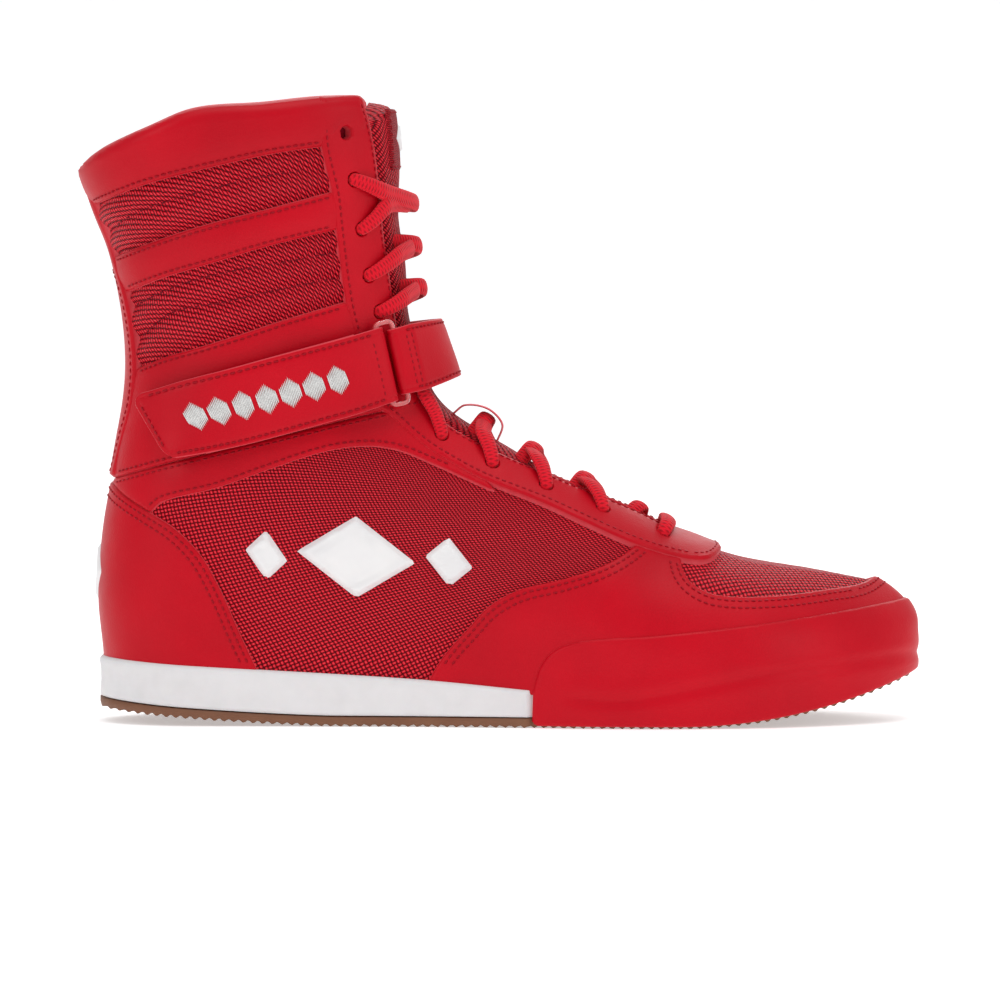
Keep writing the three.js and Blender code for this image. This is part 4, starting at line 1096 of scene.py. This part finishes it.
# ---- White badges ----
# Moulded white lozenges with bevelled edges, welded on: three on each side, one at the heel and
# one on the tongue's label.
def badge_paint():
    r = Recipe("white_moulding", 0.32)
    r.colour(r.ramp(r.noise(70, 6), [(0.35, (0.82, 0.81, 0.80)), (0.7, (0.76, 0.75, 0.75))]))
    r.bump(r.noise(1800, 2), 0.00006, 0.4)
    return r.paint


white = badge_paint()


def lozenge_depth(u, v, half_long, half_high, lean, sideways=lx):
    tips = [(u - half_long, v - lean), (u, v - half_high), (u + half_long, v + lean), (u, v + half_high)]
    return polygon_depth(tips, sideways, lz)


def ribbed(depth):
    """A fine groove round the badge, a little way in from its edge."""
    return lambda x, z: -0.55 * np.exp(-((depth - 3.6) / 0.5) ** 2)


for side_name, half_field in (("lateral", outer), ("medial", inner)):
    for place_name, u, v, long, tall in (("rear", -85.5, 60, 7.5, 9), ("middle", -54, 59.5, 21, 14.5),
                                           ("front", -21.5, 58, 8.5, 9)):
        field = lozenge_depth(u, v, long, tall, -2)
        name = f"badge_{place_name}_{side_name}"
        panel(name, [name], white, [field, half_field], mesh_depth - 0.1, 0.5, roll=1.7,
              profile=bevel, puff=ribbed(field), holes=False, rimmed=False)
panel("heel_mark", ["heel_mark"], white,
      [lozenge_depth(0, 53, 9, 10, 0, side_of), wholly(lx < -130)], 0, 1.1,
      roll=1.2, profile=bevel, holes=False, rimmed=False)
panel("tongue_mark", ["tongue_mark"], white,
      [lozenge_depth(0, 206.5, 7.5, 5, 0, side_of), ahead_of_leg], tongue_top + 0.8, tongue_top + 1.8,
      roll=0.8, profile=bevel, over=swell, holes=False, rimmed=False)


# ---- Laces ----
# Flat-oval woven laces: a straight bar across the toe eyelets and eight crossings above it. Each
# strand comes up through an eyelet, over the facing, across the tongue and under the far facing.
throat_line = smooth([[60, 71], [57, 67.6], [48, 73.2], [38, 77.6], [26.3, 82.5], [16.3, 87.4], [2.7, 94.4],
                      [-10, 100.1], [-21, 107.2], [-31, 115], [-36.5, 125], [-38.2, 138], [-38.8, 148],
                      [-40, 157.5], [-42.3, 170], [-45.2, 183.5], [-47.1, 197], [-48.7, 206], [-51.2, 212]])


def unit(v):
    return v / (np.linalg.norm(v, axis=-1, keepdims=True) + 1e-12)


def sweep(name, stations, paint, nodes, body="boot", turns=14, square=2.0, closed=False):
    """A cord along rows of (place, way out, half width, half thickness)."""
    stations = np.asarray(stations, float)
    place, way, wide, thick = stations[:, :3], stations[:, 3:6], stations[:, 6:7], stations[:, 7:8]
    ahead = unit(np.roll(place, -1, axis=0) - np.roll(place, 1, axis=0) if closed
                 else np.gradient(place, axis=0))
    aside = unit(np.cross(ahead, way))
    way = unit(np.cross(aside, ahead))
    far = np.r_[0, np.cumsum(np.linalg.norm(np.diff(place, axis=0), axis=1))]
    a = 2 * math.pi * np.arange(turns) / turns
    c, d = np.cos(a), np.sin(a)
    c = np.sign(c) * np.abs(c) ** (2 / square)
    d = np.sign(d) * np.abs(d) ** (2 / square)
    places = (place[:, None] + aside[:, None] * (wide * c)[..., None]
              + way[:, None] * (thick * d)[..., None])
    n = len(place)
    uv = np.stack(np.broadcast_arrays(far[:, None], 10 * a[None] / math.pi), axis=2).reshape(-1, 2)
    skin = []
    for k in range(n if closed else n - 1):
        next_row = (k + 1) % n
        for j in range(turns):
            m = (j + 1) % turns
            skin.append((k * turns + j, k * turns + m, next_row * turns + m, next_row * turns + j))
    if not closed:
        skin.append(tuple(range(turns))[::-1])
        skin.append(tuple(range((n - 1) * turns, n * turns)))
    obj = make_mesh(name, places.reshape(-1, 3), skin, paint, uv)
    return tie(obj, nodes, body)


def lace_paint():
    r = Recipe("woven_lace", 0.75)
    x, y = r.map_axes()
    one, two = (r.sum("SINE", r.sum(way, r.sum("MULTIPLY", x, 5200), r.sum("MULTIPLY", y, 942)))
                for way in ("ADD", "SUBTRACT"))
    braid = r.sum("MULTIPLY_ADD", r.sum("MAXIMUM", one, two), 0.5, 0.5)
    r.colour(r.ramp(braid, [(0.2, (0.4, 0.0, 0.008)), (0.8, (0.72, 0.002, 0.016))]))
    r.bump(braid, 0.0003, 0.7)
    r.bump(r.noise(2600, 3), 0.00015, 0.4)
    r.dial("Specular IOR Level", 0.2)
    r.dial("Sheen Weight", 0.1)
    return r.paint


lace = lace_paint()
lace_over, lace_under = 3.1, -5.0


def over_ridge(x, z, height):
    """The nearest place on the ridge, raised square to it, and the way it was raised."""
    k = int(np.argmin(np.hypot(ridge[1:-1, 0] - x, ridge[1:-1, 1] - z))) + 1
    ahead = ridge[k + 1] - ridge[k - 1]
    way = unit(np.array([ahead[1], 0, -ahead[0]]))
    place = np.array([ridge[k, 0], float(np.squeeze(centre_y(*ridge[k]))), ridge[k, 1]])
    return place + way * height, way


def knot(x, z, side, height, wide, thick):
    """One point of a lace on a side of the boot."""
    place, way = spot(x, z, side, height)
    return [*place[0], *way[0], wide, thick]


def throat_spot(eyelet, other):
    """Where a lace crosses the edge of the facing on its way between two eyelets."""
    goal = np.array(eyelet) + (np.array(other) - np.array(eyelet)) * 0.35
    return throat_line[np.argmin(np.linalg.norm(throat_line - goal, axis=1))]


def leave(eyelet, side, other):
    """A strand that comes up through an eyelet and over the facing."""
    edge = throat_spot(eyelet, other)
    part = np.array(eyelet) * 0.6 + edge * 0.4
    return [knot(*eyelet, side, -3.5, 1.9, 1.5), knot(*eyelet, side, 0.8, 2.3, 1.7),
            knot(*part, side, lace_over, 2.7, 1.6), knot(*edge, side, lace_over - 0.1, 3.1, 1.5)]


def arrive(eyelet, side, other):
    """A strand that goes under the facing and up to an eyelet."""
    edge = throat_spot(eyelet, other)
    return [knot(*edge, side, lace_under, 2.5, 1.0), knot(*eyelet, side, lace_under, 1.8, 1.0),
            knot(*eyelet, side, lace_under + 1.5, 1.5, 1.0)]


bar_rows = leave(eyelets[0], -1, eyelets[0]) + leave(eyelets[0], 1, eyelets[0])[::-1]
sweep("lace_toe_bar", smooth(bar_rows, 0.6), lace, ["lace_toe_bar"])
top_crossing = 7
for i in range(top_crossing + 1):
    first, second = eyelets[i], eyelets[i + 1]
    mid_x, mid_z = (first[0] + second[0]) / 2, (first[1] + second[1]) / 2
    for side in (-1, 1):
        begin = arrive(first, side, second)[::-1] if i == 0 else leave(first, side, second)
        end = leave(second, -side, first)[::-1] if i == top_crossing else arrive(second, -side, first)
        rise = -3.2 + 4.2 * (0.35 + 0.65 * float(leg_share(mid_z))) + (2.4 if side > 0 else -0.3)
        place, way = over_ridge(mid_x, mid_z, rise)
        middle_row = [*place, *way, 3.1, 1.45]
        name = f"lace_crossing_{i + 1}_{'over' if side > 0 else 'under'}"
        sweep(name, smooth(begin + [middle_row] + end, 0.6), lace, [f"lace_crossing_{i + 1}"])

keeper_rows = []
for kx, kz, rise in ((-18, 111.5, -3), (-16.5, 110.5, 2), (-11, 106.3, 5.5), (-5, 102, 3.5),
                     (-3, 100.5, -3)):
    place, way = over_ridge(kx, kz, rise)
    keeper_rows.append([*place, *way, 3.5, 0.4])
sweep("lace_keeper", smooth(keeper_rows, 0.6), satin, [])


# ---- Ankle strap ----
# A strap of the satin synthetic on each side of the ring. The rear one folds back over its own
# anchor and closes with hook and loop. White satin stitch is worked on its face.
strap_thick = 1.2
strap_base = 2.3
anchor_mid, loop_mid, hook_mid, tab_mid = 0.6, 1.9, 3.0, 4.3
wrap_line = [[-49.5, 139.3, -43.5, 113], [-60, 136.3, -54, 109.5], [-74, 132.5, -70, 105],
             [-93, 127.2, -88, 100], [-112, 121.5, -104, 96], [-129, 114.5, -116.5, 92.8]]


def section(line, side, height=strap_base):
    """A straight line over the strap's width, laid on the boot: its top end, bottom end and way out."""
    tx, tz, bx, bz = line
    w = np.linspace(0, 1, 11)
    on, _ = spot(bx + (tx - bx) * w, bz + (tz - bz) * w, side, height)
    bottom, top = on[0], on[-1]
    across = unit(top - bottom)
    normal = spot((tx + bx) / 2, (tz + bz) / 2, side)[1][0]
    normal = unit(normal - across * (normal @ across))
    lifted = max(0.0, float(((on - (bottom + (top - bottom) * w[:, None])) @ normal).max()))
    return np.r_[top + normal * lifted, bottom + normal * lifted, normal]


def raised(stations, height):
    """Strap stations moved out from the boot."""
    stations = np.array(stations, float)
    more = stations[:, 6:9] * height
    return np.column_stack([stations[:, :3] + more, stations[:, 3:6] + more, stations[:, 6:9]])


seam_inset = 1.8


class Webbing:
    """A length of strap on stations of (top, bottom, way out) at the middle of its thickness."""
    def __init__(self, stations, share_low=0.0, share_high=1.0):
        s = smooth(stations, 1.0)
        s[:, 6:9] = unit(s[:, 6:9])
        top = s[:, 3:6] + (s[:, :3] - s[:, 3:6]) * share_high
        bottom = s[:, 3:6] + (s[:, :3] - s[:, 3:6]) * share_low
        self.s = np.column_stack([top, bottom, s[:, 6:9]])
        centre = (top + bottom) / 2
        self.far = np.r_[0, np.cumsum(np.linalg.norm(np.diff(centre, axis=0), axis=1))]
        self.long = self.far[-1]
        self.wide = float(np.median(np.linalg.norm(top - bottom, axis=1)))

    def at(self, u, v, height=0.0):
        u, v = np.broadcast_arrays(np.asarray(u, float), np.asarray(v, float))
        c = [np.interp(u, self.far, self.s[:, k]) for k in range(9)]
        top, bottom, way = (np.stack(c[k:k + 3], axis=-1) for k in (0, 3, 6))
        way = unit(way)
        rise = way * np.reshape(height, np.shape(height) + (1,))
        return bottom + (top - bottom) * (v / self.wide)[..., None] + rise, way

    def cut(self, name, thick, paint, slot_name, nodes, body, corner=0.0, groove=0.22, puff=0.25,
            noise=None):
        fine = np.array([0, 0.08, 0.25, 0.5, 0.8, 1.2, 1.5, 1.8, 2.1, 2.6])
        u, v = (np.r_[fine, np.linspace(3.4, full - 3.4, max(4, int(full / 1.1))), full - fine[::-1]]
                for full in (self.long, self.wide))
        uu, vv = np.meshgrid(u, v, indexing="ij")
        near_side = np.minimum(vv, self.wide - vv)
        if corner:
            dv = np.clip(corner - near_side, 0, corner)
            back_off = corner - np.sqrt(np.maximum(0, corner**2 - dv**2))
            moved = uu - back_off * np.clip((uu - self.long + 12) / 12, 0, 1)
        else:
            moved = uu
        d = np.minimum.reduce([near_side, uu, self.long - uu])
        edge_rise = rounding(d / 0.6) * thick / 2
        past_edge = np.clip(d / 0.5, 0, 1)
        swelled = puff * (1 - np.exp(-(d / 3) ** 2)) - groove * np.exp(-((d - seam_inset) / 0.45) ** 2)
        face_rise = edge_rise + swelled * past_edge
        if noise is not None:
            face_rise = face_rise + noise(uu, vv) * past_edge
        n, m = uu.shape
        upper = self.at(moved, vv, face_rise)[0].reshape(-1, 3)
        lower = self.at(moved, vv, -edge_rise)[0].reshape(-1, 3)
        k, i = np.meshgrid(np.arange(n - 1), np.arange(m - 1), indexing="ij")
        q = (k * m + i).ravel()
        quads = np.c_[q, q + 1, q + m + 1, q + m]
        skin = np.r_[quads, quads[:, ::-1] + n * m]
        uv = np.column_stack([moved.ravel(), vv.ravel()])
        obj = make_mesh(name, np.r_[upper, lower], skin, paint, np.r_[uv, uv], np.tile(d.ravel(), 2))
        return tie(obj, nodes, body)

    def row(self, start, end, height):
        """Stitches in a straight row between two places (u, v) on the face."""
        start, end = np.array(start, float), np.array(end, float)
        long = np.linalg.norm(end - start)
        found = []
        for i in range(int(long / pitch)):
            p = start + (end - start) * (i * pitch + 0.3) / long
            q = start + (end - start) * (i * pitch + 0.3 + seen_length) / long
            a, way = self.at(*p, height)
            b, _ = self.at(*q, height)
            found.append((a, b, way))
        return found

    def border(self, height, first=2.0, last=2.0, inset=seam_inset, corner=0.0):
        w, length = self.wide, self.long
        found = self.row((first, inset), (length - last - corner, inset), height)
        found += self.row((first, w - inset), (length - last - corner, w - inset), height)
        found += self.row((first, inset + 1), (first, w - inset - 1), height)
        found += self.row((length - last, inset + corner), (length - last, w - inset - corner), height)
        return found


wrap_near = [section(line, -1) for line in smooth(wrap_line, 9)]
wrap_far = [section(line, 1) for line in smooth(wrap_line, 9)]
fold = wrap_near[0]
fold_way = fold[6:9]
ring_across = unit(fold[:3] - fold[3:6])
ring_forward = unit(np.cross(fold_way, ring_across))
ring_forward = ring_forward if ring_forward[0] > 0 else -ring_forward
bar_height = 2.45
half_wide, half_long, bar = 3.3, 14.6, 1.6
rear_bar = (fold[:3] + fold[3:6]) / 2 + fold_way * bar_height
front_bar = rear_bar + ring_forward * 2 * half_wide
half_strap = np.linalg.norm(fold[:3] - fold[3:6]) / 2


def round_bar(centre, angle, half):
    """A station of strap bent round a bar, at an angle from forward towards the way out."""
    a = math.radians(angle)
    way = ring_forward * math.cos(a) + fold_way * math.sin(a)
    at = centre + way * 1.85
    return np.r_[at + ring_across * half, at - ring_across * half, way]


anchor = Webbing(raised(wrap_near[1:-2], anchor_mid))
anchor.cut("strap_anchor", strap_thick, satin, "synthetic", ["strap_anchor"], "boot")
tab = Webbing([*(round_bar(rear_bar, a, half_strap) for a in (-45, -20, 5, 30, 55, 80)),
               *raised(wrap_near, tab_mid)])
tab.cut("strap_tab", strap_thick, satin, "synthetic", ["strap_tab"], "tab", corner=5)
thread_piece("strap_tab_seam", tab.border(0.72, first=7.5, corner=3.0), thread_thick, red_thread, body="tab")
thread_piece("strap_anchor_seam", anchor.border(0.72), thread_thick, red_thread)


def pile_paint(name, shade, scale):
    r = Recipe(name, 0.95)
    fuzz = r.cells(scale)
    r.colour(r.ramp(fuzz, [(0.1, tuple(c * 0.35 for c in shade)), (0.6, shade)]))
    r.bump(fuzz, 0.0007, 0.9)
    r.bump(r.noise(3000, 3), 0.0004, 0.6)
    r.dial("Specular IOR Level", 0.15)
    return r.paint




def loops_high(u, v):
    """The nap of the tape: small uneven hummocks over its face."""
    return 0.12 * np.abs(np.sin(u * 2.1 + np.sin(v * 3) * 1.4) * np.sin(v * 2.3 + np.sin(u * 2.6)))


loop_tape = Webbing(raised(wrap_near[3:-2], loop_mid), 0.12, 0.88)
loop_tape.cut("loop_patch", 0.7, pile_paint("loop_pile", (0.5, 0.0, 0.015), 1700), "lining",
              ["loop_patch"], "boot", groove=0.3, puff=0.1, noise=loops_high)
thread_piece("loop_patch_seam", loop_tape.border(0.4), 0.3, red_thread)
hook_stations = raised(wrap_near[4:-2], hook_mid)
hook_stations[:, 6:9] *= -1
hook_tape = Webbing(hook_stations, 0.12, 0.88)
hook_tape.cut("hook_patch", 0.7, pile_paint("hook_tape", (0.42, 0.0, 0.012), 2300), "lining",
              ["hook_patch"], "tab", groove=0.3, puff=0.0, noise=loops_high)

white_thread = thread_paint("white_thread", (0.85, 0.84, 0.82))
blocks = 7
first_u, last_u = tab.long * 0.2, tab.long * 0.84
satin_rows = []
for u in np.arange(first_u, last_u, 0.56):
    phase = ((u - first_u) / (last_u - first_u) * blocks) % 1
    reach = (0.5 - abs(phase - 0.5)) * 2
    if reach < 0.16:
        continue
    half = tab.wide * (0.06 + 0.15 * reach)
    a, way = tab.at(u, tab.wide / 2 - half, 1.05)
    b, _ = tab.at(u + 0.9, tab.wide / 2 + half, 1.05)
    satin_rows.append((a, b, way))
satin_piece = thread_piece("strap_stitching", satin_rows, 0.3, white_thread, "tab")
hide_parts("strap_stitching")


# ---- Ring ----
# A rectangular loop of clear red plastic that the front strap is sewn round. The rear strap runs
# through it.
ring_paint = Recipe("clear_red_plastic", 0.22)
ring_paint.colour((0.85, 0.2, 0.2))
ring_paint.dial("Transmission Weight", 0.55)
ring_paint.dial("IOR", 1.49)
ring_paint.bump(ring_paint.noise(500, 3), 0.0001, 0.4)
ring_corner = 1.8
ring_corners = []
for cu, cv, start_at in ((1, 1, 0), (-1, 1, 90), (-1, -1, 180), (1, -1, 270)):
    for a in np.linspace(start_at, start_at + 90, 7):
        ring_corners.append([cu * (half_wide - ring_corner) + ring_corner * math.cos(math.radians(a)),
                         cv * (half_long - ring_corner) + ring_corner * math.sin(math.radians(a))])
ring_corners = np.array(ring_corners)
ring_middle = (rear_bar + front_bar) / 2
ring_path = ring_middle + ring_corners[:, :1] * ring_forward + ring_corners[:, 1:] * ring_across
ring_rows = [[*place, *fold_way, bar / 2, bar / 2] for place in ring_path]
sweep("strap_ring", ring_rows, ring_paint.paint, ["strap_ring"], "ring", turns=16, square=5,
      closed=True)


# ---- Front strap ----
# The fixed strap: sewn round the front bar of the ring, over the laces and across the inner side,
# where it is sewn down beside the heel.
bridge = 7.6
near_line = [-40.5, 140.6, -34, 115.5]


def ridge_section(top, bottom, height):
    """A strap station over the ridge, from its top end to its bottom end."""
    t, _ = over_ridge(*top, height)
    b, _ = over_ridge(*bottom, height)
    across = unit(t - b)
    return np.r_[t, b, across[2], 0, -across[0]]


half_front = half_strap - 1.6
tail_end = round_bar(front_bar, 270, half_front)
tail_end[:6] += np.tile(ring_forward * 7, 2)
front_stations = [tail_end, round_bar(front_bar, 270, half_front)]
front_stations += [round_bar(front_bar, a, half_front) for a in (240, 210, 180, 150, 120, 95)]
front_stations += list(raised([
    section(near_line, -1, bridge), ridge_section((-32.5, 141.5), (-24.5, 117.5), bridge),
    section(near_line, 1, bridge), section(wrap_line[0], 1, bridge), *wrap_far[1:]], 0.6))
front = Webbing(front_stations)
front.cut("front_strap", strap_thick, satin, "synthetic", ["front_strap"], "boot", corner=2)
seam = front.border(0.72, first=16)
for u in (18, front.long - 9):
    seam += front.row((u, 2.8), (u, front.wide - 2.8), 0.8)
thread_piece("front_strap_seam", seam, thread_thick, red_thread)
